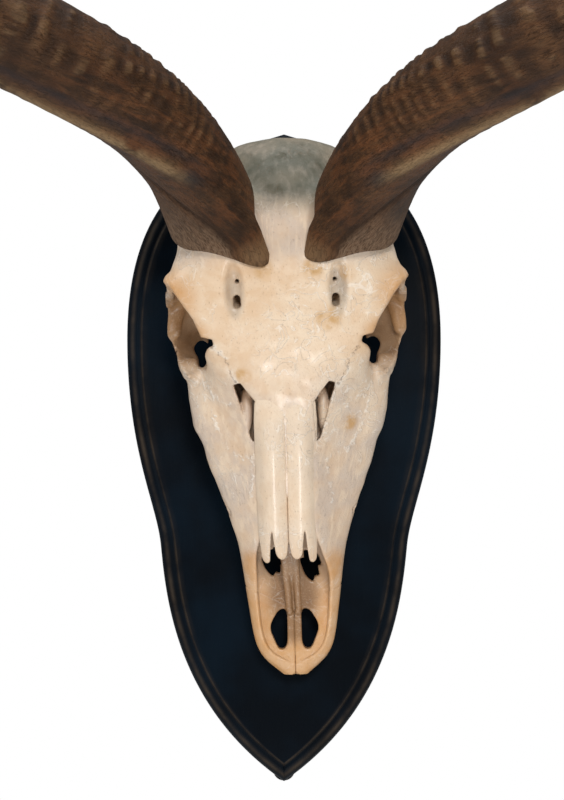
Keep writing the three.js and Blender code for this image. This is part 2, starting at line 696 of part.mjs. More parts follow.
for (const side of [1, -1]) {
  // Cheek teeth, their roots sunk in the jaw
  let u = TOOTH_ROW.startU;
  TEETH.forEach(({ length, width }, i) => {
    const x = mix(TOOTH_ROW.startX, TOOTH_ROW.endX, i / (TEETH.length - 1));
    const height = TOOTH_ROW.rootH - TOOTH_ROW.crownH;
    const tooth = new THREE.CylinderGeometry(0.5, 0.56, height, 8);
    tooth.rotateY(Math.PI / 8).scale(width, 1, length * 1.02);
    tooth.translate(side * x, -TOOTH_ROW.crownH - height / 2, u + length / 2);
    bones = bones.add(solidOf(tooth));
    u += length;
  });

  // Seat of the horn
  const footprint = solidOf(hornLength(side, -HORN_SUNK, 60, 1));
  const above = solidOf(seatSlab(side, -GAP / 2, 120));
  const seat = footprint.intersect(above).transform(intoSkull.elements);
  bones = bones.subtract(seat);
}

// One side of the skull, clear of the midline
const halfSpace = (side) => solidOf(new THREE.BoxGeometry(200, 400, 900).translate(side * (100 + GAP / 2), 0, 0));

// An outline that is alike on both sides of the midline, drawn from the middle top down one side
function mirrored(...corners) {
  const other = corners.map(([x, z]) => [-x, z]).reverse();
  return outline(...corners, ...other.filter(([x]) => x !== 0));
}

// Nasal bones: a sloping plate in two halves, each ending in two prongs over the nose opening
const nasalPlate = (shape, depth) => {
  const shear = new THREE.Matrix4().set(1, 0, 0, 0, 0, 1, -NOSE.slope, 0, 0, 0, 1, 0, 0, 0, 0, 1);
  const base = NOSE.tipH - NOSE.slope * NOSE.tipU - depth;
  return solidOf(prismOf(shape, base, 60).applyMatrix4(shear));
};
const nasalOutline = (grow) =>
  mirrored(
    [0, NOSE.topU + grow],
    [9 + grow, 228 + grow],
    [23 + grow, 216 + grow],
    [25 + grow, 195],
    [24.4 + grow, 150],
    [23 + grow, 120],
    [23 + grow, 60],
  );
const notch = (tip, half, u) =>
  nasalPlate(outline([tip, u], [tip - half, 80], [tip + half, 80]), NOSE.plate + 4);
let nasalPair = bones.intersect(nasalPlate(nasalOutline(0), NOSE.plate));
for (const [tip, half, u] of [[0, 4, 101], [14, 3.6, 112], [-14, 3.6, 112]]) {
  nasalPair = nasalPair.subtract(notch(tip, half, u));
}
bones = bones.subtract(nasalPlate(nasalOutline(GAP), NOSE.plate + GAP));

// Premaxillae: the front of the muzzle, split down the middle
const muzzleEnd = (grow) =>
  solidOf(
    prismOf(
      mirrored(
        [0, PREMAXILLA.midU + grow],
        [60, PREMAXILLA.midU + 60 * PREMAXILLA.sideRise + grow],
        [60, -20],
      ),
      -20,
      120,
    ),
  );
const premaxillaPair = bones.intersect(muzzleEnd(0));
bones = bones.subtract(muzzleEnd(GAP));

skull.add(meshOf("cranium", bones, BONE));
for (const [word, side] of [["left", 1], ["right", -1]]) {
  skull.add(meshOf(`nasal_${word}`, nasalPair.intersect(halfSpace(side)), BONE));
  skull.add(meshOf(`premaxilla_${word}`, premaxillaPair.intersect(halfSpace(side)), MUZZLE_BONE));

  const cuts = [-HORN_SUNK, ...HORN_CUTS.map((t) => t * HORN_LENGTH), HORN_LENGTH];
  HORN_NAMES.forEach((part, k) => {
    const from = cuts[k] + (k === 0 ? 0 : GAP / 2);
    const to = cuts[k + 1] - (k === HORN_NAMES.length - 1 ? 0 : GAP / 2);
    let length = solidOf(hornLength(side, from, to));
    if (k === 0) length = length.subtract(solidOf(seatSlab(side, GAP / 2, -120)));
    horns.add(meshOf(`horn_${word}_${part}`, length, HORN));
  });
}

export default mount;
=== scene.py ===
"""Greater kudu skull with spiral horns on a black shield plaque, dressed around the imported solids."""
import math

import bpy
import numpy as np
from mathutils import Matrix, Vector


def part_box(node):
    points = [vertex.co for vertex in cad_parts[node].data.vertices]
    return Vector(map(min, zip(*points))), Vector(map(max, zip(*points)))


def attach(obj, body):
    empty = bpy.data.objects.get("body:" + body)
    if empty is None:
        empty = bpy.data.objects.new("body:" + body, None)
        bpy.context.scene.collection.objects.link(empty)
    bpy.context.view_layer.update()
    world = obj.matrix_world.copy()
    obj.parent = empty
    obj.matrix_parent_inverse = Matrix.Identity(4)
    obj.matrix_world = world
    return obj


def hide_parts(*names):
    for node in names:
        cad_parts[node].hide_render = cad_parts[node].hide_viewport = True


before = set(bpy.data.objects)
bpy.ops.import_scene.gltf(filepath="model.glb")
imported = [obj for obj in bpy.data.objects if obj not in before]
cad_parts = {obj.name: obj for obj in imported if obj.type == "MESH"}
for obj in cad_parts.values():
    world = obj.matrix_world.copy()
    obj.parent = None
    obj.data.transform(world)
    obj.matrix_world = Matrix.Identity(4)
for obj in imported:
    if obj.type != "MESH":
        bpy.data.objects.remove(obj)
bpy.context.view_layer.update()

# Sizes in millimetres, in the skull's own measures: x from the midline, u up from the muzzle's tip,
# h off the plaque's face
MM = 0.001
PLAQUE_LOW, PLAQUE_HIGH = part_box("plaque")
PLAQUE_THICKNESS = -PLAQUE_LOW[1] / MM
PLAQUE_HALF_WIDTH = PLAQUE_HIGH[0] / MM
PLAQUE_APEX_Z = PLAQUE_HIGH[2] / MM
PLAQUE_POINT_Z = PLAQUE_LOW[2] / MM
PLAQUE_WIDEST_Z = 93.0
PLAQUE_WAIST = (96.2, -67.4)
PLAQUE_WAIST_LEAN = 0.1
PLAQUE_WAIST_PULL = (32.7, 38.7)
PLAQUE_APEX_PULL = (47.0, 238.2)
PLAQUE_SHOULDER_Z = 222.3
PLAQUE_FLANK_Z = 5.8
PLAQUE_FOOT_PULL = (85.5, -193.0)
OVOLO = 8.5
QUIRK = 1.6
DROP_RADIUS = 8.5
DROP_THICKNESS = 13.0

SKULL_TIP_X = 9.0
SKULL_TIP_Z = -163.8
SKULL_ROLL = math.radians(-1.5)
REST_H = 0.3
BONE_CELL = 1.7
SMALL_BONE_CELL = 1.0
SEAM = 0.06
LAP = 3.0
LAP_DEPTH = 0.15
NOSE_SHIFT = -3.0
NOSE_ROOF_U = 136.0
NASAL_RAISE = 3.0
NASAL_THICKNESS = 4.0
MUZZLE_WALL = 6.0
MUZZLE_FLOOR_H = 24.0
MUZZLE_DEPTH_U = 170.0
ORBIT_CENTRE = (75.8, 259.0, 85.0)
ORBIT_NORMAL = (0.937, -0.234, 0.258)
ORBIT_RADIUS = 30.0
DISH_SAG = 15.0
DISH_HALF_THICKNESS = 2.2
PREMAXILLA_MID_U = 50.0
PREMAXILLA_RISE = 0.5

# Sections of the face: u, roof height, palate height, then half-widths at the gums, cheeks and roof
FACE = np.array([
    (-2, 19, 11, 6, 9, 6),
    (9, 25, 10, 18, 21.5, 18),
    (17, 28, 10, 23, 27.3, 23),
    (28, 32, 11, 26, 31, 26),
    (55, 42, 14, 28, 35, 28),
    (97, 68, 18, 34, 40.5, 25),
    (118, 76, 18, 39, 46, 24),
    (140, 84, 18, 43, 53.5, 25),
    (165, 93, 18, 47, 62.5, 26),
    (190, 102, 18, 50, 68.5, 29),
    (212, 111, 18, 48, 69, 42),
    (230, 117, 20, 40, 64, 58),
    (247, 123, 22, 32, 50, 74),
    (260, 127, 24, 28, 44, 92),
    (276, 131, 25, 26, 42, 106),
    (292, 134, 26, 26, 42, 113),
    (306, 135, 26, 26, 44, 103),
    (324, 129, 26, 26, 46, 92),
], dtype=float)
FACE_TOP, FACE_PALATE, FACE_GUMS, FACE_CHEEKS, FACE_ROOF = 1, 2, 3, 4, 5

# Half-width of the nose opening along the muzzle
OPENING = np.array([(8, 2), (16, 16), (28, 23), (55, 26.5), (78, 27), (96, 24), (112, 19), (140, 18)], float)

# Outer edge of the roof over the eye, as u and x
SHELF_EDGE = ((244, 53), (255, 55), (257, 63), (270, 69), (287, 80), (296, 87), (299, 92))

# Outer edge of the cheek bone under the eye, as u and x
DISH_EDGE = ((222, 71), (237, 79), (251, 85.5), (267, 88.8), (285, 89), (299, 87.5))

# Outlines in x and u: the slits in the palate, and those beside the nasal bones
PALATE_SLIT = [(7, 21), (11, 19.5), (17, 31), (18, 35), (10, 48), (6.8, 47.5), (6.2, 34)]
CHEEK_SLIT = [(23.4, 180), (25, 181), (36.5, 221), (33, 222), (21.5, 207)]

# Thin bone broken out of the nose's floor: centre and radii in x and u
BROKEN_FLOOR = (((-15.5, 86), (7.5, 10)), ((13.5, 83), (7, 12)))

# Half-width of a nasal bone along u, its two prongs as middle, tip and roundness, and the slots between
# them as tip, root and their widths
NASAL_HALF_WIDTH = ((80, 21), (105, 22), (120, 22.6), (150, 23.4), (195, 23.4), (207, 22.6), (236, 14))
NASAL_PRONGS = ((5.6, 89.5, 0.22), (17.2, 87.0, 0.3))
PRONG_SPLIT = 12.6
NASAL_SLOTS = (
    ((12.4, 111), (12.0, 84), 0.4, 3.3),
    ((0, 102), (0, 84), 0.3, 3.0),
    ((22.6, 106), (22.4, 84), 0.4, 2.6),
)

# Rounded masses as centre and radii
BRAINCASE = ((0, 345, 70), (54, 58, 62))
NAPE = ((0, 374, 62), (50, 29, 42))
NAPE_POWER = 3
FOREHEAD = ((0, 328, 98), (44, 36, 37.5))
NECK_KNOB = ((17, 393, 24), (15, 13, 25))
EAR_BULB = ((27, 343, 24), (13, 18, 16))
ROLLED_BONE = ((28.4, 203, 84), (4.4, 17, 9))

# Bars as their two ends and the radius at each
HORN_CORE = ((38, 305, 96), (46, 342, 132), 28, 27)
SKULL_BASE = ((0, 232, 34), (0, 385, 40), 16, 20)
NECK_PRONG = ((36, 370, 42), (36, 366, 4), 10, 6)
POST_BAR = ((86.2, 284, 70), (84.5, 299, 118), 2.2, 3.0)
CHEEK_ROOT = ((56, 200, 58), (71, 236, 64), 13, 6.5)
CHEEK_ARCH = ((85, 262, 57), (76, 303, 56), 4.8, 5.0)
ARCH_END = ((76, 303, 56), (50, 342, 58), 5.0, 10)
TWIN_RIDGE = ((3.5, 47, 26), (4.4, 112, 51), 2.4, 3.2)

# Hollows and openings, as eggs or bars
SPINE_OPENING = ((0, 406, 44), (12, 16, 11))
PALATE_VAULT = ((0, 150, 4), (25, 95, 18))
BROW_GROOVE = ((37.5, 287, 141), (8, 22, 13))
BROW_OPENINGS = (
    ((37, 277, 140), (34, 284, 110), 3.3, 2.4),
    ((37.4, 281, 140), (34, 287, 110), 3.3, 2.4),
    ((37, 294, 140), (34, 299, 118), 2.0, 1.4),
)
CHEEK_OPENING = ((47, 126, 46), (34, 134, 46), 3.0, 2.4)
TEMPLE_HOLLOW = ((76, 312, 70), (72, 300, 20), 20, 24)
TIP_NOTCH = ((0.3, -4, 18), (0.3, 0.5, 18), 3.2, 1.2)
SOCKET_GAP = ((65, 251), (64.5, 238), 5.6, 2.4)
SOCKET_GAP_FLOOR_H = 25.0
SOCKET_RADIUS = 27.0
SOCKET_DEPTH = 34.0
SOCKET_SINK = 10.0
SOCKET_STEEPNESS = 24.0
SHELF_FRONT_U = 278.0
SHELF_SLANT = 0.5
SHELF_BACK_U = 299.0
SHELF_UNDER_H = 52.0
DISH_ROOT_X = 62.0
DISH_INNER_X = 60.0
DISH_BRIM = 2.0
WEB_HALF_WIDTH = 4.2
WEB_U = (46.0, 150.0)
WEB_FLOOR_H = 18.0

# Boxes that hold the pieces of bone on the +x side, or on both sides for the cranium
CRANIUM_BOX = ((-118, 40, -4), (118, 424, 176))
NASAL_BOX = ((-8, 80, 50), (30, 242, 132))
PREMAXILLA_BOX = ((-2, -6, -3), (44, 76, 66))

# Cheek teeth from the front one backwards
TOOTH_ROW_U = 117.0
TOOTH_ROW_X = (31.0, 43.0)
TOOTH_ROOT_H = 25.0
TOOTH_LENGTHS = (12, 14, 14, 19, 23, 23)
TOOTH_WIDTHS = (11, 13, 15, 18, 19, 17)

# Horns in millimetres, with places on the row's own axes and one offset for each side
HORN_LENGTH = 1200.0
HORN_SUNK = 40.0
HORN_BASE = (47.4, -155.0, 177.1)
HORN_OFFSET = {1: 1.5, -1: -1.0}
HORN_SPREAD = math.radians(31)
HORN_RISE = math.radians(27.5)
HORN_PITCH = (21.0, 44.0, 30.0)
HORN_PITCH_MIDDLE = 0.48
HORN_TURN = (722.0, 430.0)
HORN_PHASE = math.radians(68)
HORN_ROWS = 930
HORN_SIDES = 100

# Camera and studio in metres, with the photo's height and focal length in pixels
CAMERA_DISTANCE = 2.0
CAMERA_X = -0.00155
CAMERA_Z = 0.0455
PHOTO_HEIGHT = 800
FOCAL_PIXELS = 2544
SENSOR = 36.0
FLOOR_Z = -1.25
FLOOR_RADIUS = 6.0
FLOOR_GLOW = 0.2
FLOOR_TONES = ((0.80, 0.80, 0.79), (0.84, 0.84, 0.83))
WORLD_GLOW = 0.2

# Lights in metres and watts: name, place, the point it faces, diameter and power
LIGHTS = (
    ("front_light", (0.25, -2.4, 0.9), (0, -0.1, 0.05), 0.7, 29),
    ("low_light", (0.03, -0.95, -0.76), (0, -0.12, -0.01), 0.2, 2.6),
    ("top_light", (0, -0.2, 2.6), (0, -0.2, 0), 3.0, 55),
    ("left_light", (-1.8, -1.5, 1.0), (0, -0.1, 0.1), 1.2, 15),
    ("right_light", (1.9, -1.2, 0.6), (0, -0.1, 0.1), 1.2, 2.5),
)


def smoothstep(low, high, value):
    """Smooth change from 0 to 1 as a value goes from low to high."""
    t = np.clip((value - low) / (high - low), 0.0, 1.0)
    return t * t * (3 - 2 * t)


def mix(a, b, t):
    return a + (b - a) * t


def along(table, column, u):
    """One named size at u, on a smooth curve through the stations of a table."""
    stations = table[:, 0]
    values = table[:, column]
    slopes = np.empty(len(values))
    slopes[1:-1] = (values[2:] - values[:-2]) / (stations[2:] - stations[:-2])
    slopes[0] = (values[1] - values[0]) / (stations[1] - stations[0])
    slopes[-1] = (values[-1] - values[-2]) / (stations[-1] - stations[-2])
    i = np.clip(np.searchsorted(stations, u) - 1, 0, len(values) - 2)
    span = stations[i + 1] - stations[i]
    t = np.clip((u - stations[i]) / span, 0.0, 1.0)
    t2 = t * t
    t3 = t2 * t
    return (
        (2 * t3 - 3 * t2 + 1) * values[i]
        + (t3 - 2 * t2 + t) * span * slopes[i]
        + (3 * t2 - 2 * t3) * values[i + 1]
        + (t3 - t2) * span * slopes[i + 1]
    )


# Horn axis, and the seat on the skull where each horn starts

HORN_AXIS = np.array([
    math.sin(HORN_SPREAD) * math.cos(HORN_RISE),
    -math.sin(HORN_RISE),
    math.cos(HORN_SPREAD) * math.cos(HORN_RISE),
])
HORN_INWARD = np.array([-math.cos(HORN_SPREAD), 0, math.sin(HORN_SPREAD)])
HORN_FRONT = np.cross(HORN_INWARD, HORN_AXIS)
if HORN_FRONT[1] > 0:
    HORN_FRONT = -HORN_FRONT
SEAT_POINT = np.array([45.2, -149.6, 172.3])
SEAT_NORMAL = np.array([-0.04, -0.918, 0.391])
SEAT_DEPTH = 1.5
SEAT_CLEAR = 2.5
KEEL_START = math.radians(58)
HORN_RADIUS = 32.0
HORN_SWELL = 34.5
HORN_TIP_RADIUS = 2.4
KEEL_LAG = math.radians(40)
KEEL_LAG_LENGTH = 350.0
KEEL_HEIGHT = 0.17
KEEL_WIDTH = 0.42
KEEL_SHIFT = 0.1
KEEL_FOOT = {1: 0.0, -1: 0.17}
LOBE_AWAY = 0.17
LOBE_WIDTH = 0.3
LOBE_RUN = (-22.0, 2.0)
RIM_FRONT = 15.0
RIM_FRONT_AWAY = 1.15
RIM_FRONT_WIDTH = 0.65
RIM_MEDIAL = 33.0
RIM_MEDIAL_START = (-1.9, -1.2)
RIM_MEDIAL_END = (-0.25, 0.05)
FLANK_START = math.radians(190)
FLANK_HEIGHT = 0.13
FLANK_WIDTH = 0.5
CREST_WIDTH = 0.14
CREST_HEIGHT = 0.03
GROOVE_AWAY = -0.26
GROOVE_WIDTH = 0.12
GROOVE_DEPTH = 0.05
CREASE_AWAY = 0.62
CREASE_DRIFT = 0.4
CREASE_WIDTH = 0.1
CREASE_DEPTH = 0.05
PIT_AWAY = 0.02
PIT_WIDTH = 0.17
PIT_RUN = 84.0
PIT_LENGTH = 11.0
PIT_DEPTH = 0.06
CHIP_DEPTH = 0.03
RIDGE_PITCH = 10.0
RIDGE_UPPER = -1.6
TIP_ROUND = 5.0


def horn_direction(t, phase):
    """Direction of the horn's centre line at a share of its length and a phase of its helix."""
    base, middle, tip = HORN_PITCH
    early = mix(base, middle, smoothstep(0, HORN_PITCH_MIDDLE, t))
    late = mix(middle, tip, smoothstep(HORN_PITCH_MIDDLE, 1, t))
    pitch = math.radians(early if t < HORN_PITCH_MIDDLE else late)
    across = HORN_INWARD * math.cos(phase) + HORN_FRONT * math.sin(phase)
    return HORN_AXIS * math.cos(pitch) + across * math.sin(pitch)


def into_skull(vector, is_place):
    """A place or direction in row millimetres, in the skull's measures."""
    x, y, z = vector
    if is_place:
        x -= SKULL_TIP_X
        y += PLAQUE_THICKNESS
        z -= SKULL_TIP_Z
    turn_cos = math.cos(SKULL_ROLL)
    turn_sin = math.sin(SKULL_ROLL)
    return (x * turn_cos - z * turn_sin, x * turn_sin + z * turn_cos, -y)


def section_axes(way):
    """The two axes of the horn's section, square to its direction."""
    right = HORN_INWARD - way * HORN_INWARD.dot(way)
    right /= np.linalg.norm(right)
    up = np.cross(right, way)
    return right, up * np.sign(up.dot(HORN_FRONT))


def horn_seats():
    """Each seat's place and normal, with the horn's base, direction, section axes and foot there."""
    seats = []
    way = horn_direction(0, HORN_PHASE)
    right, up = section_axes(way)
    for side in (1, -1):
        flip = np.array([side, 1, 1])
        centre = np.array([HORN_OFFSET[side], 0, 0])
        seats.append((
            into_skull(SEAT_POINT * flip + centre, True),
            into_skull(SEAT_NORMAL * flip, False),
            into_skull(np.array(HORN_BASE) * flip + centre, True),
            into_skull(way * flip, False),
            into_skull(right * flip, False),
            into_skull(up * flip, False),
            KEEL_FOOT[side],
        ))
    return seats


HORN_SEATS = horn_seats()


def horn_foot(keel_away, run, foot):
    """Half-width of the horn's foot at an angle from its keel."""
    flank_away = np.angle(np.exp(1j * (keel_away + KEEL_START - FLANK_START)))
    keel = KEEL_HEIGHT * np.exp(-(((keel_away - KEEL_SHIFT) / KEEL_WIDTH) ** 2))
    lobe = foot * (1 - smoothstep(*LOBE_RUN, run)) * np.exp(-(((keel_away - LOBE_AWAY) / LOBE_WIDTH) ** 2))
    flank = FLANK_HEIGHT * np.exp(-((flank_away / FLANK_WIDTH) ** 2))
    return HORN_RADIUS * (1 + keel + lobe + flank)


def rim_lift(keel_away):
    """How far up the horn its rim stands from the seat, at an angle from the keel."""
    front = RIM_FRONT * np.exp(-(((keel_away - RIM_FRONT_AWAY) / RIM_FRONT_WIDTH) ** 2))
    medial = smoothstep(*RIM_MEDIAL_START, keel_away) * (1 - smoothstep(*RIM_MEDIAL_END, keel_away))
    return front + RIM_MEDIAL * medial


# Distance fields of the bones: negative inside


def joined(a, b, softness):
    """Both bodies as one, with a soft fillet where they meet."""
    overlap = np.maximum(softness - np.abs(a - b), 0) / softness
    return np.minimum(a, b) - overlap * overlap * softness / 4


def carved(body, hollow, softness):
    """A body with a hollow taken out of it, softly rounded at the edge."""
    return -joined(-body, hollow, softness)


def egg(p, centre, radii):
    """Ellipsoid, or an ellipse where only two measures are given."""
    near = 0
    far = 0
    for value, middle, radius in zip(p, centre, radii):
        d = (value - middle) / radius
        near = near + d * d
        far = far + (d / radius) ** 2
    length = np.sqrt(near)
    return length * (length - 1) / np.maximum(np.sqrt(far), 1e-6)


def block(p, centre, radii, power):
    """Ellipsoid squared off by a power above two."""
    total = 0
    for value, middle, radius in zip(p, centre, radii):
        total = total + np.abs((value - middle) / radius) ** power
    return (total ** (1 / power) - 1) * min(radii)


def bar(p, a, b, radius_a, radius_b):
    """Round-ended bar from a to b."""
    length = sum((end - start) ** 2 for start, end in zip(a, b))
    dot = sum((value - start) * (end - start) for value, start, end in zip(p, a, b))
    t = np.clip(dot / length, 0, 1)
    far = sum((value - mix(start, end, t)) ** 2 for value, start, end in zip(p, a, b))
    return np.sqrt(far) - mix(radius_a, radius_b, t)


def face_field(x, u, h):
    """Face from muzzle to brow: rounded squares through the sections of the table."""
    top = along(FACE, FACE_TOP, u)
    palate = along(FACE, FACE_PALATE, u)
    v = (h - palate) / (top - palate)
    middle = 0.42
    gums = along(FACE, FACE_GUMS, u)
    cheeks = along(FACE, FACE_CHEEKS, u)
    roof = along(FACE, FACE_ROOF, u)
    lower = mix(gums, cheeks, smoothstep(0, middle, v))
    upper = mix(cheeks, roof, smoothstep(middle, 1, v))
    width = np.where(v < middle, lower, upper)
    section = (np.abs(x / width) ** 3.4 + np.abs(2 * v - 1) ** 3.4) ** (1 / 3.4) - 1
    size = np.minimum(width, (top - palate) / 2)
    return np.maximum.reduce([section * size, -2 - u, u - 324])


def smooth_most(a, b, softness):
    """What two bodies share, with the edge between them rounded."""
    return -joined(-a, -b, softness)


def polygon(x, u, corners, rounding):
    """Distance to a convex outline in the x and u plane, listed against the clock and rounded."""
    edges = []
    for (ax, au), (bx, bu) in zip(corners, corners[1:] + corners[:1]):
        length = math.hypot(bx - ax, bu - au)
        edges.append(((x - ax) * (bu - au) - (u - au) * (bx - ax)) / length)
    far = edges[0]
    for edge in edges[1:]:
        far = smooth_most(far, edge, rounding)
    return far


def nose_middle(u):
    """The nasal bones and the ridge under them lie a little to one side of the skull's midline."""
    return NOSE_SHIFT * smoothstep(40, 110, u) * (1 - smoothstep(215, 262, u))


def eye_socket(bone, p):
    """Eye socket, its blade-thin rim, the bar behind it and the cheek arch under it."""
    x, u, h = p
    d = [value - middle for value, middle in zip(p, ORBIT_CENTRE)]
    depth = sum(value * part for value, part in zip(d, ORBIT_NORMAL))
    across = np.sqrt(np.maximum(sum(value * value for value in d) - depth * depth, 0))
    bone = carved(bone, bar(p, *TEMPLE_HOLLOW), 8)
    cup = np.hypot(across / SOCKET_RADIUS, (depth + SOCKET_SINK) / SOCKET_DEPTH) - 1
    bone = carved(bone, cup * SOCKET_STEEPNESS, 1.5)
    shelf = np.interp(u, *np.array(SHELF_EDGE, float).T)
    front = SHELF_FRONT_U - u - SHELF_SLANT * x
    bone = carved(bone, np.maximum.reduce([shelf - x, front, u - SHELF_BACK_U, SHELF_UNDER_H - h]), 3)
    outer = np.interp(u, *np.array(DISH_EDGE, float).T)
    share = np.clip((x - DISH_ROOT_X) / (outer - DISH_ROOT_X), 0, 1)
    height = h - ORBIT_CENTRE[2] + DISH_SAG * (1 - share * share)
    shell = np.abs(np.hypot(u - ORBIT_CENTRE[1], height) - ORBIT_RADIUS) - DISH_HALF_THICKNESS
    dish = np.maximum.reduce([shell, height - DISH_BRIM, x - outer, DISH_INNER_X - x])
    bone = joined(bone, dish, 4)
    bone = joined(bone, bar(p, *POST_BAR), 5)
    bone = joined(bone, bar(p, *CHEEK_ROOT), 14)
    bone = joined(bone, bar(p, *CHEEK_ARCH), 5)
    bone = joined(bone, bar(p, *ARCH_END), 6)
    ragged = 0.4 * np.sin(u * 0.55)
    return carved(bone, np.maximum(bar((x, u), *SOCKET_GAP) + ragged, SOCKET_GAP_FLOOR_H - h), 1.5)


def muzzle(bone, face, x, u, h, nose_x):
    """Nose: hollow behind its opening, with slits in its floor and a twin ridge along the middle."""
    middle_x = mix(x, nose_x, smoothstep(70, 96, u))
    roofless = np.maximum.reduce([middle_x - along(OPENING, 1, u), u - NOSE_ROOF_U, 9 - u])
    hollow = np.maximum(face + MUZZLE_WALL, u - MUZZLE_DEPTH_U)
    bone = carved(bone, np.maximum(np.minimum(roofless, hollow), MUZZLE_FLOOR_H - h), 3.5)
    ridge_top = mix(25, 50, smoothstep(44, 105, u))
    front, back = WEB_U
    web = np.maximum.reduce([
        nose_x - WEB_HALF_WIDTH, front - u, u - back, h - ridge_top + 1, WEB_FLOOR_H - h,
    ])
    bone = joined(bone, web, 3)
    bone = joined(bone, bar((nose_x, u, h), *TWIN_RIDGE), 2.5)
    slit = polygon(x, u, PALATE_SLIT, 5.0) - 2.0
    return carved(bone, np.maximum(slit, h - 45), 1.5)


def skull_field(side, u, h):
    """The whole skull, without its teeth and with the nose open under the nasal bones."""
    x = np.abs(side)
    p = (x, u, h)
    nose_x = np.abs(side - nose_middle(u))
    face = face_field(x, u, h)

    # Outer masses
    bone = joined(face, egg(p, *BRAINCASE), 12)
    bone = joined(bone, block(p, *NAPE, NAPE_POWER), 10)
    bone = joined(bone, bar(p, *HORN_CORE), 16)
    bone = joined(bone, bar(p, *SKULL_BASE), 10)
    bone = joined(bone, egg(p, *FOREHEAD), 10)
    bone = eye_socket(bone, p)

    # Underside of the braincase
    bone = joined(bone, egg(p, *NECK_KNOB), 5)
    bone = joined(bone, bar(p, *NECK_PRONG), 6)
    bone = joined(bone, egg(p, *EAR_BULB), 5)
    bone = carved(bone, egg(p, *SPINE_OPENING), 4)

    bone = muzzle(bone, face, x, u, h, nose_x)
    for centre, radii in BROKEN_FLOOR:
        torn = egg((side, u), centre, radii) + 1.2 * np.sin(side * 0.9 + u * 0.5)
        bone = carved(bone, np.maximum(torn, h - 40), 1)
    bone = carved(bone, bar((side, u, h), *TIP_NOTCH), 1)

    # Slits beside the nasal bones, with the rolled bone inside them
    slit = polygon(nose_x, u, CHEEK_SLIT, 1.0) - 0.8
    bone = carved(bone, np.maximum(slit, 66 - h), 1)
    bone = joined(bone, egg((nose_x, u, h), *ROLLED_BONE), 1)

    # Gentle unevenness
    swell = np.sin(0.19 * side + 0.11 * u + 1) * np.sin(0.16 * u - 0.09 * side + 0.1 * h)
    ripple = np.sin(0.41 * side - 0.13 * u) * np.sin(0.37 * u + 0.2 * side)
    bone = bone + (0.22 * swell + 0.08 * ripple) * smoothstep(90, 130, u)

    # Palate, grooves over the eyes with their openings, and the opening above the first tooth
    bone = carved(bone, egg(p, *PALATE_VAULT), 6)
    bone = carved(bone, egg(p, *BROW_GROOVE), 2.5)
    for opening in BROW_OPENINGS:
        bone = carved(bone, bar(p, *opening), 1)
    bone = carved(bone, bar(p, *CHEEK_OPENING), 1.5)

    # Seats under the horns
    for place, normal, base, way, right, up, foot in HORN_SEATS:
        offset = [v - q for v, q in zip((side, u, h), base)]
        run = sum(v * w for v, w in zip(offset, way))
        across = sum(v * w for v, w in zip(offset, right))
        over = sum(v * w for v, w in zip(offset, up))
        keel_away = np.angle(np.exp(1j * (np.arctan2(over, across) - KEEL_START)))
        rise = sum(n * w for n, w in zip(normal, way))
        above = sum((v - q) * n for v, q, n in zip((side, u, h), place, normal))
        above = above - rise * rim_lift(keel_away)
        footprint = np.hypot(across, over) - horn_foot(keel_away, run, foot) - SEAT_CLEAR
        bone = carved(bone, np.maximum(-above, footprint), 0.5)
    return np.maximum(bone, REST_H - h)


def premaxilla_region(x, u):
    """Negative in front of the slanting line where the premaxillae end."""
    return u - PREMAXILLA_MID_U - PREMAXILLA_RISE * np.abs(x)


def cranium_field(x, u, h):
    """The skull behind the premaxillae, which lap over it."""
    edge = premaxilla_region(x, u)
    return np.maximum(skull_field(x, u, h) + LAP_DEPTH * (1 - smoothstep(0, 2, edge)), -LAP - edge)


def nasal_field(side):
    """One nasal bone: a convex strip over the nose, ending in two prongs."""

    def field(x, u, h):
        away = side * (x - nose_middle(u))
        half = np.interp(u, *np.array(NASAL_HALF_WIDTH, float).T)
        swell = NASAL_RAISE * (1 - ((away - 11.5) / 11.5) ** 2) * (1 - smoothstep(165, 222, u))
        sunk = 1.6 * smoothstep(192, 226, u)
        face = face_field(np.abs(x - nose_middle(u)), u, h)
        bone = smooth_most(face - np.maximum(swell, -1.5) + sunk, -face - NASAL_THICKNESS, 1.2)
        bone = smooth_most(bone, np.maximum(away - half, 0.05 - away), 1.2)
        inner_tip, outer_tip = (
            tip + roundness * (away - middle) ** 2 for middle, tip, roundness in NASAL_PRONGS
        )
        bone = carved(bone, u - np.where(away < PRONG_SPLIT, inner_tip, outer_tip), 1.5)
        for tip, root, tip_width, root_width in NASAL_SLOTS:
            bone = carved(bone, bar((away, u), tip, root, tip_width, root_width), 0.8)
        return bone

    return field


def premaxilla_field(side):
    """One half of the muzzle's tip, up to the midline."""

    def field(x, u, h):
        edge = premaxilla_region(x, u)
        return np.maximum.reduce([skull_field(x, u, h), edge, SEAM - side * x])

    return field


CELL_CORNERS = [(i, j, k) for i in (0, 1) for j in (0, 1) for k in (0, 1)]
COARSE_STEP = 4
COARSE_REACH = 2.2


def spread_out(blocks):
    """Each block's value, repeated over the cells of the block."""
    for axis in range(3):
        blocks = np.repeat(blocks, COARSE_STEP, axis)
    return blocks


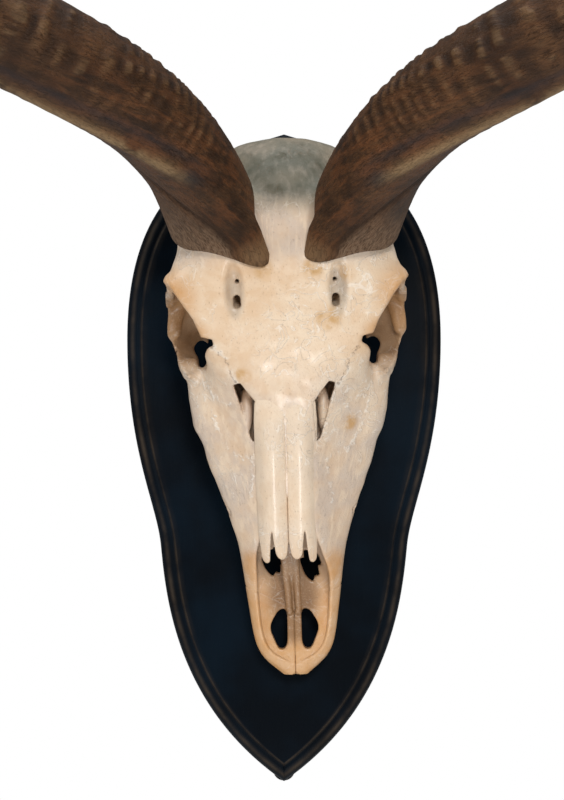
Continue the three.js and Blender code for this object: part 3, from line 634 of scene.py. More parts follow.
def grid_values(field, low, high, cell):
    """A field's values on a grid. A coarse pass leaves out the blocks that lie far from the surface."""
    blocks = np.ceil(np.subtract(high, low) / (cell * COARSE_STEP)).astype(int)
    counts = blocks * COARSE_STEP + 1
    axes = [start + cell * np.arange(count) for start, count in zip(low, counts)]
    coarse = field(*np.meshgrid(*[axis[::COARSE_STEP] for axis in axes], indexing="ij"))
    corners = [
        np.abs(coarse[i:i + blocks[0], j:j + blocks[1], k:k + blocks[2]]) for i, j, k in CELL_CORNERS
    ]
    near = spread_out(np.minimum.reduce(corners) < COARSE_REACH * COARSE_STEP * cell)
    wanted = np.zeros(counts, dtype=bool)
    for i, j, k in CELL_CORNERS:
        wanted[i:i + near.shape[0], j:j + near.shape[1], k:k + near.shape[2]] |= near
    where = np.nonzero(wanted)
    values = spread_out(coarse)[:counts[0], :counts[1], :counts[2]].copy()
    values[where] = field(*[axis[index] for axis, index in zip(axes, where)])
    return values


def crossed_cells(inside):
    """The cells with corners on both sides of the surface, and each one's number among them."""
    cells = np.subtract(inside.shape, 1)
    total = np.zeros(cells, dtype=np.uint8)
    for i, j, k in CELL_CORNERS:
        total += inside[i:cells[0] + i, j:cells[1] + j, k:cells[2] + k]
    crossed = np.argwhere((total > 0) & (total < len(CELL_CORNERS)))
    number = np.full(total.shape, -1, dtype=np.int64)
    number[tuple(crossed.T)] = np.arange(len(crossed))
    return crossed, number


def cell_points(values, crossed):
    """The mean of the places where each crossed cell's edges meet the surface, in cells."""
    sums = np.zeros((len(crossed), 3))
    hits = np.zeros(len(crossed))
    for axis in range(3):
        edge = np.eye(3, dtype=int)[axis]
        for start in [corner for corner in CELL_CORNERS if corner[axis] == 0]:
            near = values[tuple((crossed + start).T)]
            far = values[tuple((crossed + start + edge).T)]
            cut = (near < 0) != (far < 0)
            share = np.where(cut, near / np.where(cut, near - far, 1), 0)
            sums += np.where(cut[:, None], start + share[:, None] * edge, 0)
            hits += cut
    return crossed + sums / hits[:, None]


def cell_quads(inside, number):
    """One quad for each grid edge that crosses the surface, through the four cells round that edge."""
    quads = []
    for axis in range(3):
        others = [n for n in range(3) if n != axis]
        lower = [slice(1, count - 1) for count in inside.shape]
        upper = list(lower)
        lower[axis] = slice(0, inside.shape[axis] - 1)
        upper[axis] = slice(1, inside.shape[axis])
        change = np.argwhere(inside[tuple(lower)] != inside[tuple(upper)])
        change[:, others] += 1
        ring = []
        for back in ((0, 0), (1, 0), (1, 1), (0, 1)):
            cell = change.copy()
            cell[:, others] -= back
            ring.append(number[tuple(cell.T)])
        quad = np.stack(ring, 1)
        turn = inside[tuple(change.T)] == (axis != 1)
        quad[turn] = quad[turn][:, ::-1]
        quads.append(quad)
    return np.concatenate(quads)


def surface_of(field, low, high, cell):
    """Vertices and quads of a field's zero surface, one vertex in each grid cell that it crosses."""
    values = grid_values(field, low, high, cell)
    inside = values < 0
    crossed, number = crossed_cells(inside)
    points = np.array(low) + cell * cell_points(values, crossed)
    return settled(field, points, cell), cell_quads(inside, number)


def settled(field, points, cell):
    """Points moved onto a field's zero surface."""
    nudge = 0.05
    for _ in range(2):
        x, u, h = points.T
        value = field(x, u, h)
        slope = np.stack([
            field(x + nudge, u, h) - value,
            field(x, u + nudge, h) - value,
            field(x, u, h + nudge) - value,
        ], 1) / nudge
        steep = np.maximum((slope * slope).sum(1), 0.2)
        step = np.clip(value / steep, -0.5 * cell, 0.5 * cell)
        points = points - step[:, None] * slope
    return points


def skull_to_row(points):
    """Skull measures in millimetres to the row frame in metres."""
    x, u, h = points.T
    turn_cos = math.cos(SKULL_ROLL)
    turn_sin = math.sin(SKULL_ROLL)
    return MM * np.stack([
        SKULL_TIP_X + x * turn_cos + u * turn_sin,
        -PLAQUE_THICKNESS - h,
        SKULL_TIP_Z - x * turn_sin + u * turn_cos,
    ], 1)


# Meshes


def piece_of(name, points, faces, material):
    """A smooth-shaded object from vertices in metres and faces."""
    mesh = bpy.data.meshes.new(name)
    mesh.from_pydata(points.tolist(), [], faces.tolist())
    mesh.validate()
    mesh.polygons.foreach_set("use_smooth", np.ones(len(mesh.polygons), dtype=bool))
    mesh.materials.append(material)
    mesh.update()
    piece = bpy.data.objects.new(name, mesh)
    bpy.context.scene.collection.objects.link(piece)
    return piece


def set_attribute(piece, name, values):
    """Keep one number for each vertex, for a material or a tree to read."""
    attribute = piece.data.attributes.new(name, "FLOAT", "POINT")
    attribute.data.foreach_set("value", np.asarray(values, dtype=np.float32))


def belongs(piece, slot, *nodes):
    """Tie a finished piece to the root body and hide the solids it stands for; slot, meant for its finish, is
    not used.
    """
    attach(piece, "root")
    if nodes:
        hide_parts(*nodes)


# Node trees


class Wire:
    """A socket in a node tree. Arithmetic on it adds Math nodes, and node() adds any other node."""

    def __init__(self, tree, socket=None):
        self.tree = tree
        self.socket = socket

    def node(self, kind, settings=None, sockets=None, out=0):
        made = self.tree.nodes.new(kind)
        for key, value in (settings or {}).items():
            setattr(made, key, value)
        for key, value in (sockets or {}).items():
            if isinstance(value, Wire):
                self.tree.links.new(value.socket, made.inputs[key])
            else:
                made.inputs[key].default_value = value
        return Wire(self.tree, made.outputs[out])

    def math(self, operation, *values):
        return self.node("ShaderNodeMath", {"operation": operation}, dict(enumerate((self, *values))))

    def __add__(self, other):
        return self.math("ADD", other)

    def __radd__(self, other):
        return self.math("ADD", other)

    def __sub__(self, other):
        return self.math("SUBTRACT", other)

    def __rsub__(self, other):
        return (self * -1) + other

    def __mul__(self, other):
        return self.math("MULTIPLY", other)

    def __rmul__(self, other):
        return self.math("MULTIPLY", other)

    def __truediv__(self, other):
        return self.math("DIVIDE", other)

    def __rtruediv__(self, other):
        return (self ** -1) * other

    def __neg__(self):
        return self * -1

    def __pow__(self, other):
        return self.math("POWER", other)

    def sin(self):
        return self.math("SINE")

    def cos(self):
        return self.math("COSINE")

    def abs(self):
        return self.math("ABSOLUTE")

    def least(self, other):
        return self.math("MINIMUM", other)

    def most(self, other):
        return self.math("MAXIMUM", other)

    def step(self, low, high, start=0.0, end=1.0):
        """Smooth change from start to end as this value goes from low to high."""
        return self.node(
            "ShaderNodeMapRange",
            {"interpolation_type": "SMOOTHSTEP"},
            {"Value": self, "From Min": low, "From Max": high, "To Min": start, "To Max": end},
        )

    def bell(self, width):
        """One where this value is zero, falling away over a width either side."""
        scaled = self / width
        return (-(scaled * scaled)).math("EXPONENT")

    def toward(self, colour, amount):
        """This colour mixed with another."""
        return self.node(
            "ShaderNodeMix",
            {"data_type": "RGBA"},
            {0: amount, 6: self, 7: (*colour, 1)},
            out=2,
        )

    def vector(self, operation, other):
        return self.node("ShaderNodeVectorMath", {"operation": operation}, {0: self, 1: other})

    def scaled(self, factor):
        return self.node("ShaderNodeVectorMath", {"operation": "SCALE"}, {0: self, "Scale": factor})


def noise(place, scale, detail=3.0, roughness=0.55, distortion=0.0):
    return place.node(
        "ShaderNodeTexNoise",
        {"noise_dimensions": "3D"},
        {
            "Vector": place,
            "Scale": scale,
            "Detail": detail,
            "Roughness": roughness,
            "Distortion": distortion,
        },
    )


def attribute(place, name):
    return place.node("ShaderNodeAttribute", {"attribute_name": name}, out="Fac")


def colour_mix(place, a, b, amount):
    return place.node("ShaderNodeMix", {"data_type": "RGBA"}, {0: amount, 6: (*a, 1), 7: (*b, 1)}, out=2)


def start_material(name):
    material = bpy.data.materials.new(name)
    material.use_nodes = True
    shader = material.node_tree.nodes["Principled BSDF"]
    place = Wire(material.node_tree).node("ShaderNodeTexCoord", out="Object")
    return material, shader, place


def plug(shader, name, wire):
    wire.tree.links.new(wire.socket, shader.inputs[name])


def plug_bump(shader, height, distance):
    """Height in units of the distance, which is in metres."""
    plug(shader, "Normal", height.node(
        "ShaderNodeBump", None, {"Height": height, "Distance": distance, "Strength": 1.0},
    ))


# Materials

CREAM = (0.68, 0.465, 0.285)
PALE = (0.78, 0.62, 0.455)
LILAC = (0.56, 0.465, 0.395)
HONEY = (0.55, 0.255, 0.06)
ASH_AND_SHADE = (0.066, 0.074, 0.050)
ASH_STAIN = (0.048, 0.042, 0.016)
CAVITY_SHADE = (0.215, 0.11, 0.046)
OCHRE = (0.50, 0.25, 0.045)
CHALK_AND_GLINT = (0.90, 0.83, 0.74)
SEAM_BROWN = (0.22, 0.12, 0.05)


def bone_material(name, pale=0.0):
    material, shader, place = start_material(name)
    cloud = noise(place, 15)
    blotch = noise(place, 38, 3)
    mottle = noise(place, 95, 4)
    grain = noise(place, 900, 2)
    streak = noise(place.vector("MULTIPLY", (1, 1, 0.1)), 210, 4)
    # Noise for thin squiggles painted as glints
    glint_vein = noise(place, 75, 2, 0.5, 1.2) - 0.5
    crack = noise(place.vector("MULTIPLY", (1, 1, 0.22)), 60, 3, 0.6, 1.6) - 0.5
    pores = noise(place.vector("MULTIPLY", (1, 1, 0.35)), 1500, 1)
    suture = attribute(place, "suture") + (noise(place, 260, 3) - 0.5) * 2.4
    lilac = attribute(place, "lilac") * blotch.step(0.35, 0.65, 0.3, 1.0)
    stain = attribute(place, "ochre") * mottle.step(0.32, 0.62)
    honey = attribute(place, "honey") * mottle.step(0.2, 0.75, 0.55, 1.0)
    ash_and_shade = attribute(place, "ash_and_shade") * cloud.step(0.3, 0.6, 0.72, 1.0)
    line = suture.bell(0.5)
    glint_squiggle = glint_vein.bell(0.017) * cloud.step(0.42, 0.56) * (1 - ash_and_shade) * (1 - honey)
    fine_crack = crack.bell(0.006) * blotch.step(0.5, 0.62) * attribute(place, "lilac")

    light = cloud.step(0.34, 0.6) * 0.6 + mottle.step(0.4, 0.62) * 0.4 + pale
    colour = colour_mix(place, CREAM, PALE, light.least(1))
    # Lilac-grey tone of the bone, which in the grooves over the eyes is painted shade
    colour = colour.toward(LILAC, lilac * 0.75)
    colour = colour.toward(PALE, streak.step(0.5, 0.66) * attribute(place, "lilac") * 0.6)
    colour = colour.toward(HONEY, honey * 0.86)
    # Grey-green crown: partly the bone's own stain, partly painted shade where the braincase turns up away
    # from the light
    colour = colour.toward(ASH_AND_SHADE, ash_and_shade * 0.93)
    colour = colour.toward(ASH_STAIN, ash_and_shade * mottle.step(0.45, 0.7) * blotch.step(0.4, 0.6) * 0.6)
    colour = colour.toward(LILAC, ash_and_shade * streak.step(0.45, 0.75) * 0.16)
    # Painted shade deep inside the nose and the lower eye sockets
    colour = colour.toward(CAVITY_SHADE, attribute(place, "cavity_shade") * cloud.step(0.25, 0.7, 0.6, 0.95))
    colour = colour.toward(CREAM, grain.step(0.5, 0.75) * (1 - ash_and_shade) * 0.3)
    colour = colour.toward(OCHRE, stain * 0.75)
    # Painted glints: thin white squiggles where varnish catches the light on uneven bone; the same white also
    # draws the real chalky lines below
    colour = colour.toward(CHALK_AND_GLINT, glint_squiggle * 0.5)
    chalk = attribute(place, "chalk") + (noise(place, 330, 3) - 0.5) * 5
    chalk_line = chalk.bell(0.9) * mottle.step(0.4, 0.52)
    chalky_seam = suture.bell(2.0) * mottle.step(0.42, 0.6)
    colour = colour.toward(CHALK_AND_GLINT, chalky_seam.most(chalk_line) * 0.6)
    colour = colour.toward(SEAM_BROWN, line * mottle.step(0.35, 0.6, 0.15, 0.6))
    colour = colour.toward(SEAM_BROWN, fine_crack * 0.22)
    colour = colour.toward(SEAM_BROWN, pores.step(0.69, 0.78) * 0.35)
    plug(shader, "Base Color", colour)
    plug(shader, "Roughness", 0.27 + 0.2 * mottle + 0.12 * grain + 0.2 * attribute(place, "dull"))
    plug(shader, "Coat Weight", 0.3 - 0.28 * attribute(place, "dull"))
    shader.inputs["Coat Roughness"].default_value = 0.18
    shader.inputs["Specular IOR Level"].default_value = 0.45
    relief = blotch * 1.6 + mottle * 0.8 + grain * 0.15 + glint_squiggle * 0.3 + chalk_line * 0.4
    relief = relief + streak * attribute(place, "lilac") * 0.5
    relief = relief - line * 0.8 - fine_crack * 0.15 - pores.step(0.66, 0.8) * 0.3
    plug_bump(shader, relief, 0.0009)
    return material


HORN_DARK = (0.020, 0.009, 0.004)
HORN_BROWN = (0.095, 0.043, 0.017)
HORN_RED = (0.135, 0.050, 0.017)
HORN_TAN = (0.27, 0.175, 0.088)
HORN_GREY = (0.215, 0.140, 0.088)
HORN_GROOVE_SHADE = (0.016, 0.017, 0.021)


def horn_material():
    material, shader, place = start_material("kudu_horn")
    run = attribute(place, "along")
    away = attribute(place, "away")
    ring = attribute(place, "ring")
    hollow = attribute(place, "ring_hollow")
    round_x = attribute(place, "keel_cos")
    round_y = attribute(place, "keel_sin")
    fibres = place.node("ShaderNodeCombineXYZ", None, {"X": round_x * 3, "Y": round_y * 3, "Z": run / 45})
    bands = place.node("ShaderNodeCombineXYZ", None, {"X": round_x * 0.8, "Y": round_y * 0.8, "Z": run / 8})
    fibre = noise(fibres, 9.0, 5, 0.65)
    streak = noise(fibres, 1.8, 4)
    band = noise(bands, 1.0, 3)
    cloud = noise(place, 26, 4)
    speck = noise(place, 420, 3)
    crack = (noise(fibres, 3.4, 3) - 0.5).bell(0.012) * cloud.step(0.4, 0.55)
    base = run.step(75, -10)
    flank = away.step(0.55, 0.8) * base
    # Keel crest, for a painted highlight
    crest = (away - KEEL_SHIFT).bell(0.13) * cloud.step(0.32, 0.5) * run.step(70, 110)
    warm = (away + 0.45).bell(0.95) * run.step(240, 120)
    rough_edge = run.step(45, 12) * away.step(-0.35, -0.7)

    shade = cloud.step(0.32, 0.62, 0.05, 1.15) * fibre.step(0.32, 0.68, 0.4, 1.1)
    shade = shade * band.step(0.3, 0.62, 0.55, 1.0)
    colour = colour_mix(place, HORN_DARK, HORN_BROWN, shade)
    red = streak.step(0.4, 0.62) * (0.2 + 0.8 * warm)
    colour = colour.toward(HORN_RED, red * fibre.step(0.3, 0.6, 0.4, 0.9))
    # Painted highlight in tan on the growth ridges' crests, and painted shade in the hollows between them
    colour = colour.toward(HORN_TAN, ring.step(0.3, 0.95) * streak.step(0.38, 0.66) * 0.24)
    colour = colour.toward(HORN_DARK, hollow * fibre.step(0.3, 0.6, 0.35, 0.75))
    colour = colour.toward(HORN_TAN, rough_edge * speck.step(0.45, 0.65) * 0.45)
    grey = flank * fibre.step(0.35, 0.62, 0.2, 0.95)
    colour = colour.toward(HORN_GREY, grey * cloud.step(0.3, 0.6, 0.6, 1))
    rim = run.step(4, -16) * away.step(0.7, 0.3)
    colour = colour.toward(HORN_TAN, rim * streak.step(0.3, 0.6) * 0.4)
    # Painted shade: bluish dark in the groove beside the keel and in the pit, dark in the crease near its
    # foot; the cracks are the horn's own dark lines
    colour = colour.toward(HORN_GROOVE_SHADE, (attribute(place, "groove") * 0.55).most(attribute(place, "pit") * 0.8))
    colour = colour.toward(HORN_DARK, (attribute(place, "crease") * 0.7).most(crack * 0.35))
    # Painted highlight: a tan line along the keel's crest where it catches the light
    colour = colour.toward(HORN_TAN, crest * fibre.step(0.3, 0.6, 0.45, 0.9))
    colour = colour.toward(HORN_DARK, run.step(600, 1150) * 0.6)
    plug(shader, "Base Color", colour)
    plug(shader, "Roughness", 0.4 + 0.2 * fibre + 0.15 * base)
    shader.inputs["Specular IOR Level"].default_value = 0.16
    relief = fibre * 0.8 + speck * 0.4 + band * run.step(10, 60) * 0.7 - crack * 0.25
    plug_bump(shader, relief, 0.0014)
    return material


LACQUER = (0.0009, 0.0024, 0.0046)
LACQUER_SHEEN = (0.0014, 0.0060, 0.0120)
WORN_EDGE_AND_HIGHLIGHT = (0.075, 0.055, 0.038)


def lacquer_material():
    material, shader, place = start_material("black_lacquered_wood")
    cloud = noise(place, 12)
    grain = noise(place.vector("MULTIPLY", (9, 9, 0.6)), 55, 4)
    speck = noise(place, 700, 2)
    # Lighter lines on the moulding's crest and lip: partly rubbed wear, partly a painted highlight where the
    # rounded edges catch the light
    wear = attribute(place, "wear") * noise(place, 45, 4).step(0.3, 0.7, 0.25, 1.0)
    colour = colour_mix(place, LACQUER, LACQUER_SHEEN, cloud.step(0.35, 0.65))
    colour = colour.toward(WORN_EDGE_AND_HIGHLIGHT, wear * 0.55 + speck.step(0.7, 0.8) * 0.04)
    plug(shader, "Base Color", colour)
    plug(shader, "Roughness", 0.3 + 0.1 * grain + 0.1 * cloud + 0.15 * wear)
    shader.inputs["Specular IOR Level"].default_value = 0.055
    plug_bump(shader, grain * 0.5 + speck * 0.2, 0.00025)
    return material


TOOTH_IVORY = (0.72, 0.62, 0.42)
TOOTH_STAIN = (0.13, 0.075, 0.03)


def tooth_material():
    material, shader, place = start_material("tooth_enamel")
    stripe = noise(place.vector("MULTIPLY", (1, 0.25, 1)), 320, 3)
    cloud = noise(place, 60)
    colour = colour_mix(place, TOOTH_IVORY, TOOTH_STAIN, stripe.step(0.45, 0.75) * 0.7)
    plug(shader, "Base Color", colour)
    plug(shader, "Roughness", 0.22 + 0.2 * cloud)
    plug_bump(shader, stripe, 0.0004)
    return material


def floor_material():
    material, shader, place = start_material("studio_floor")
    cloud = noise(place, 3)
    plug(shader, "Base Color", colour_mix(place, *FLOOR_TONES, cloud))
    plug(shader, "Roughness", 0.6 + 0.1 * cloud)
    shader.inputs["Emission Color"].default_value = (1, 1, 1, 1)
    shader.inputs["Emission Strength"].default_value = FLOOR_GLOW
    return material


# Geometry Nodes


def start_tree(name, inputs):
    """A Geometry Nodes tree with named inputs: name, socket type and default."""
    tree = bpy.data.node_groups.new(name, "GeometryNodeTree")
    tree.interface.new_socket("Geometry", in_out="INPUT", socket_type="NodeSocketGeometry")
    tree.interface.new_socket("Geometry", in_out="OUTPUT", socket_type="NodeSocketGeometry")
    for key, (kind, default) in inputs.items():
        socket = tree.interface.new_socket(key, in_out="INPUT", socket_type=kind)
        if default is not None:
            socket.default_value = default
    group = tree.nodes.new("NodeGroupInput")
    wires = {socket.name: Wire(tree, socket) for socket in group.outputs if socket.name}
    return tree, wires


def end_tree(tree, geometry, material):
    """Close a tree: real geometry, smooth, with its material."""
    geometry = geometry.node("GeometryNodeRealizeInstances", None, {"Geometry": geometry})
    geometry = geometry.node("GeometryNodeSetShadeSmooth", None, {"Geometry": geometry})
    geometry = geometry.node("GeometryNodeSetMaterial", None, {"Geometry": geometry, "Material": material})
    output = tree.nodes.new("NodeGroupOutput")
    tree.links.new(geometry.socket, output.inputs["Geometry"])


def store(geometry, name, value):
    """Keep a value on the geometry's points under a name."""
    return geometry.node(
        "GeometryNodeStoreNamedAttribute",
        {"data_type": "FLOAT", "domain": "POINT"},
        {"Geometry": geometry, "Name": name, "Value": value},
    )


def grown(name, tree, host, values, material):
    """The mesh that a tree makes on a host object, as a plain piece with one material slot."""
    modifier = host.modifiers.new("grow", "NODES")
    modifier.node_group = tree
    for item in tree.interface.items_tree:
        if item.in_out == "INPUT" and item.name in values:
            modifier[item.identifier] = values[item.name]
    bpy.context.view_layer.update()
    graph = bpy.context.evaluated_depsgraph_get()
    mesh = bpy.data.meshes.new_from_object(host.evaluated_get(graph))
    mesh.name = name
    host.modifiers.remove(modifier)
    bpy.data.objects.remove(host)
    mesh.materials.clear()
    mesh.materials.append(material)
    piece = bpy.data.objects.new(name, mesh)
    bpy.context.scene.collection.objects.link(piece)
    return piece


def host_object(name, points=()):
    mesh = bpy.data.meshes.new(name)
    mesh.from_pydata([tuple(point) for point in points], [], [])
    host = bpy.data.objects.new(name, mesh)
    bpy.context.scene.collection.objects.link(host)
    return host


def curve_object(name, *lines):
    """A curve with one straight-jointed spline through each line of points, in metres."""
    curve = bpy.data.curves.new(name, "CURVE")
    curve.dimensions = "3D"
    for line in lines:
        spline = curve.splines.new("POLY")
        spline.points.add(len(line) - 1)
        spline.points.foreach_set("co", np.insert(np.asarray(line, float), 3, 1.0, axis=1).ravel())
    made = bpy.data.objects.new(name, curve)
    bpy.context.scene.collection.objects.link(made)
    return made


def sampled(curves, length, spline):
    """Position and tangent at a length along one spline of a curve."""
    node = curves.tree.nodes.new("GeometryNodeSampleCurve")
    node.mode = "LENGTH"
    curves.tree.links.new(curves.socket, node.inputs["Curves"])
    curves.tree.links.new(length.socket, node.inputs["Length"])
    node.inputs["Curve Index"].default_value = spline
    return Wire(curves.tree, node.outputs["Position"]), Wire(curves.tree, node.outputs["Tangent"])


# Horns: a keeled sleeve along a helix whose own axis leans outwards and off the wall

def horn_line():
    """Points of the left horn's centre line in millimetres."""
    stride = 2.0
    point = np.array(HORN_BASE)
    phase = HORN_PHASE
    points = [point - horn_direction(0, phase) * HORN_SUNK]
    for s in np.arange(0, HORN_LENGTH + stride, stride):
        t = s / HORN_LENGTH
        points.append(point)
        point = point + horn_direction(t, phase) * stride
        phase += 2 * math.pi * stride / mix(*HORN_TURN, t)
    return np.array(points)


def wrapped(angle):
    """An angle brought between minus and plus half a turn."""
    return angle.math("WRAP", math.pi, -math.pi)


def horn_start(turn, keel_foot):
    """Where each side of the sleeve starts along the horn: at the seat, with the rim's wavy line."""
    way = horn_direction(0, HORN_PHASE)
    right, up = section_axes(way)
    gap = SEAT_NORMAL.dot(np.array(HORN_BASE) - SEAT_POINT) + SEAT_DEPTH
    away = wrapped(turn - KEEL_START)
    keel = (away - KEEL_SHIFT).bell(KEEL_WIDTH) * KEEL_HEIGHT
    lobe = (away - LOBE_AWAY).bell(LOBE_WIDTH) * keel_foot
    flank = wrapped(turn - FLANK_START).bell(FLANK_WIDTH) * FLANK_HEIGHT
    foot = HORN_RADIUS * (1 + keel + lobe + flank)
    reach = foot * (turn.cos() * float(SEAT_NORMAL.dot(right)) + turn.sin() * float(SEAT_NORMAL.dot(up)))
    front = (away - RIM_FRONT_AWAY).bell(RIM_FRONT_WIDTH) * RIM_FRONT
    medial = away.step(*RIM_MEDIAL_END[::-1]) * away.step(*RIM_MEDIAL_START) * RIM_MEDIAL
    seat = ((reach + gap) * (-1 / SEAT_NORMAL.dot(way))).most(2 - HORN_SUNK)
    return seat + front + medial


def horn_section(wires, turn, run):
    """Half-width round the horn's section as a share of its radius, and values for its material."""
    side = wires["Side"]
    away = wrapped(turn - KEEL_START + run.step(0, KEEL_LAG_LENGTH, 0, KEEL_LAG))
    sleeve = side.node("ShaderNodeCombineXYZ", None, {
        "X": away.cos() * 2.0,
        "Y": away.sin() * 2.0,
        "Z": run / 60 + wires["Seed"] + side,
    })
    length_only = side.node("ShaderNodeCombineXYZ", None, {"Z": run / 45 + wires["Seed"] + side})
    drift = noise(sleeve, 1.0, 2)
    fine = noise(sleeve.vector("MULTIPLY", (2.2, 2.2, 0.5)), 4.0, 4)
    spacing = noise(length_only, 1.0, 2)

    # Keel with its sharp crest, lobe at its foot, and flank
    keel_bell = (away - KEEL_SHIFT).bell(KEEL_WIDTH)
    crest = (away - KEEL_SHIFT).bell(CREST_WIDTH) * run.step(40, 110) * CREST_HEIGHT
    lobe = (away - LOBE_AWAY).bell(LOBE_WIDTH) * run.step(*LOBE_RUN[::-1]) * wires["Keel foot"]
    flank = wrapped(turn - FLANK_START).bell(FLANK_WIDTH) * run.step(0, 260, FLANK_HEIGHT, 0)

    # Growth ridges, strongest on the upper side, fading at the base and towards the tip
    count = run / RIDGE_PITCH - run.step(150, 520, 0, 18)
    wave = (count * (2 * math.pi) + spacing * 16 + drift * 2.5 + away.sin() * 0.8).sin()
    ring = (wave * 0.5 + 0.5) ** 1.5
    calm = run.step(25, 120) * run.step(1120, 850)
    upper = (away - RIDGE_UPPER).bell(1.2)
    uneven = noise(sleeve, 1.7, 1).step(0.36, 0.66, 0.1, 1.5)
    ridges = ring * uneven * calm * (0.12 + 0.88 * upper) * run.step(100, 380, 0.7, 1.3)
    ridges = ridges * wires["Ridge height"]

    # Groove beside the keel, crease and pit near its foot, and chips along it
    groove = (away - GROOVE_AWAY).bell(GROOVE_WIDTH) * run.step(50, 110)
    crease = (away - CREASE_AWAY - run.step(0, 100, 0, CREASE_DRIFT)).bell(CREASE_WIDTH)
    crease = crease * run.step(140, 70) * run.step(-18, 5)
    pit = (away - PIT_AWAY).bell(PIT_WIDTH) * ((run - PIT_RUN) / PIT_LENGTH).bell(1.0)
    chips = keel_bell * drift.step(0.66, 0.72) * CHIP_DEPTH
    hollows = groove * GROOVE_DEPTH + crease * CREASE_DEPTH + pit * PIT_DEPTH + chips

    share = 1 + keel_bell * KEEL_HEIGHT + crest + lobe + flank + ridges - hollows + (fine - 0.5) * 0.012
    values = {
        "along": run,
        "keel_cos": away.cos(),
        "keel_sin": away.sin(),
        # The ridges' crests for a painted highlight, and the hollows between them for painted shade
        "ring": ring * uneven * calm * upper,
        "ring_hollow": (1 - ring) ** 3 * uneven * calm * upper,
        "away": away,
        "groove": groove,
        "crease": crease,
        "pit": pit,
    }
    return share, values


def horn_tree(material):
    tree, wires = start_tree("spiral_horn", {
        "Centre line": ("NodeSocketObject", None),
        "Side": ("NodeSocketFloat", 1.0),
        "Rows": ("NodeSocketInt", HORN_ROWS),
        "Sides": ("NodeSocketInt", HORN_SIDES),
        "Keel foot": ("NodeSocketFloat", 0.0),
        "Offset": ("NodeSocketFloat", 0.0),
        "Ridge height": ("NodeSocketFloat", 0.05),
        "Seed": ("NodeSocketFloat", 4.0),
    })
    side = wires["Side"]
    line = side.node("GeometryNodeObjectInfo", None, {"Object": wires["Centre line"]}, out="Geometry")
    columns = wires["Sides"] + 1
    index = side.node("GeometryNodeInputIndex")
    row = (index / columns).math("FLOOR")
    turn = (index - row * columns) / wires["Sides"] * (2 * math.pi)
    start = horn_start(turn, wires["Keel foot"])
    run = start + row / (wires["Rows"] - 1) * (HORN_LENGTH - start)
    t = (run / HORN_LENGTH).most(0).least(1)

    # Half-width: the taper, the section, the round tip, and nothing at the first row, which closes the foot
    share, values = horn_section(wires, turn, run)
    body = run.step(0, 260, HORN_RADIUS, HORN_SWELL) * (1 - t ** 1.8).most(0) ** 0.85
    tip = ((run - (HORN_LENGTH - TIP_ROUND)) / TIP_ROUND).most(0)
    radius = body.most(HORN_TIP_RADIUS) * share * (1 - tip * tip).most(0) ** 0.5 * row.least(1)

    # Section axes square to the centre line, turning with the helix
    slowing = HORN_TURN[0] - HORN_TURN[1]
    spun = (HORN_TURN[0] / (HORN_TURN[0] - slowing * t)).math("LOGARITHM", math.e)
    angle = turn + spun * (2 * math.pi * HORN_LENGTH / slowing)
    centre, tangent = sampled(line, (run + HORN_SUNK) * MM, 0)
    inward = side.node("ShaderNodeCombineXYZ", None, dict(zip("XYZ", HORN_INWARD.tolist())))
    lean = side.node(
        "ShaderNodeVectorMath", {"operation": "DOT_PRODUCT"}, {0: inward, 1: tangent}, out="Value",
    )
    flat = inward.vector("SUBTRACT", tangent.scaled(lean))
    across = side.node("ShaderNodeVectorMath", {"operation": "NORMALIZE"}, {0: flat})
    way = horn_direction(0, HORN_PHASE)
    right, up = section_axes(way)
    over = across.vector("CROSS_PRODUCT", tangent).scaled(float(np.sign(np.cross(right, way).dot(up))))
    spot = centre.vector("ADD", across.scaled(angle.cos() * radius * MM))
    spot = spot.vector("ADD", over.scaled(angle.sin() * radius * MM))
    mirror = side.node("ShaderNodeCombineXYZ", None, {"X": side, "Y": 1.0, "Z": 1.0})
    aside = side.node("ShaderNodeCombineXYZ", None, {"X": wires["Offset"] * MM})
    spot = spot.vector("MULTIPLY", mirror).vector("ADD", aside)

    mesh = side.node("GeometryNodeMeshGrid", None, {"Vertices X": wires["Rows"], "Vertices Y": columns})
    for name, value in values.items():
        mesh = store(mesh, name, value)
    mesh = side.node("GeometryNodeSetPosition", None, {"Geometry": mesh, "Position": spot})
    mesh = side.node("GeometryNodeMergeByDistance", None, {"Geometry": mesh, "Distance": 0.00001})
    end_tree(tree, mesh, material)
    return tree


def facing_out(piece):
    """Turn a closed mesh's faces outwards."""
    mesh = piece.data
    mesh.calc_loop_triangles()
    points = np.empty(len(mesh.vertices) * 3)
    mesh.vertices.foreach_get("co", points)
    points = points.reshape(-1, 3)
    corners = np.empty(len(mesh.loop_triangles) * 3, dtype=np.int64)
    mesh.loop_triangles.foreach_get("vertices", corners)
    a, b, c = points[corners.reshape(-1, 3)].transpose(1, 0, 2)
    if np.einsum("ij,ij->i", a, np.cross(b, c)).sum() < 0:
        mesh.flip_normals()
    mesh.update()


def make_horns():
    material = horn_material()
    line = curve_object("horn_centre_line", horn_line() * MM)
    tree = horn_tree(material)
    for word, side in (("left", 1), ("right", -1)):
        values = {
            "Centre line": line,
            "Side": float(side),
            "Keel foot": KEEL_FOOT[side],
            "Offset": HORN_OFFSET[side],
        }
        horn = grown(f"{word}_horn", tree, host_object(f"{word}_horn_host"), values, material)
        facing_out(horn)
        belongs(horn, "horn", *[f"horn_{word}_{part}" for part in ("base", "lower", "upper", "tip")])
    bpy.data.objects.remove(line)


# Plaque: a moulded edge run round half of the shield's outline, closed over the middle, then mirrored


def bezier(a, b, c, d, count):
    """Points along a curve from a to d, pulled towards b and c."""
    t = np.linspace(0, 1, count)[:, None]
    a, b, c, d = (np.array(point, float) for point in (a, b, c, d))
    return (1 - t) ** 3 * a + 3 * (1 - t) ** 2 * t * b + 3 * (1 - t) * t * t * c + t ** 3 * d


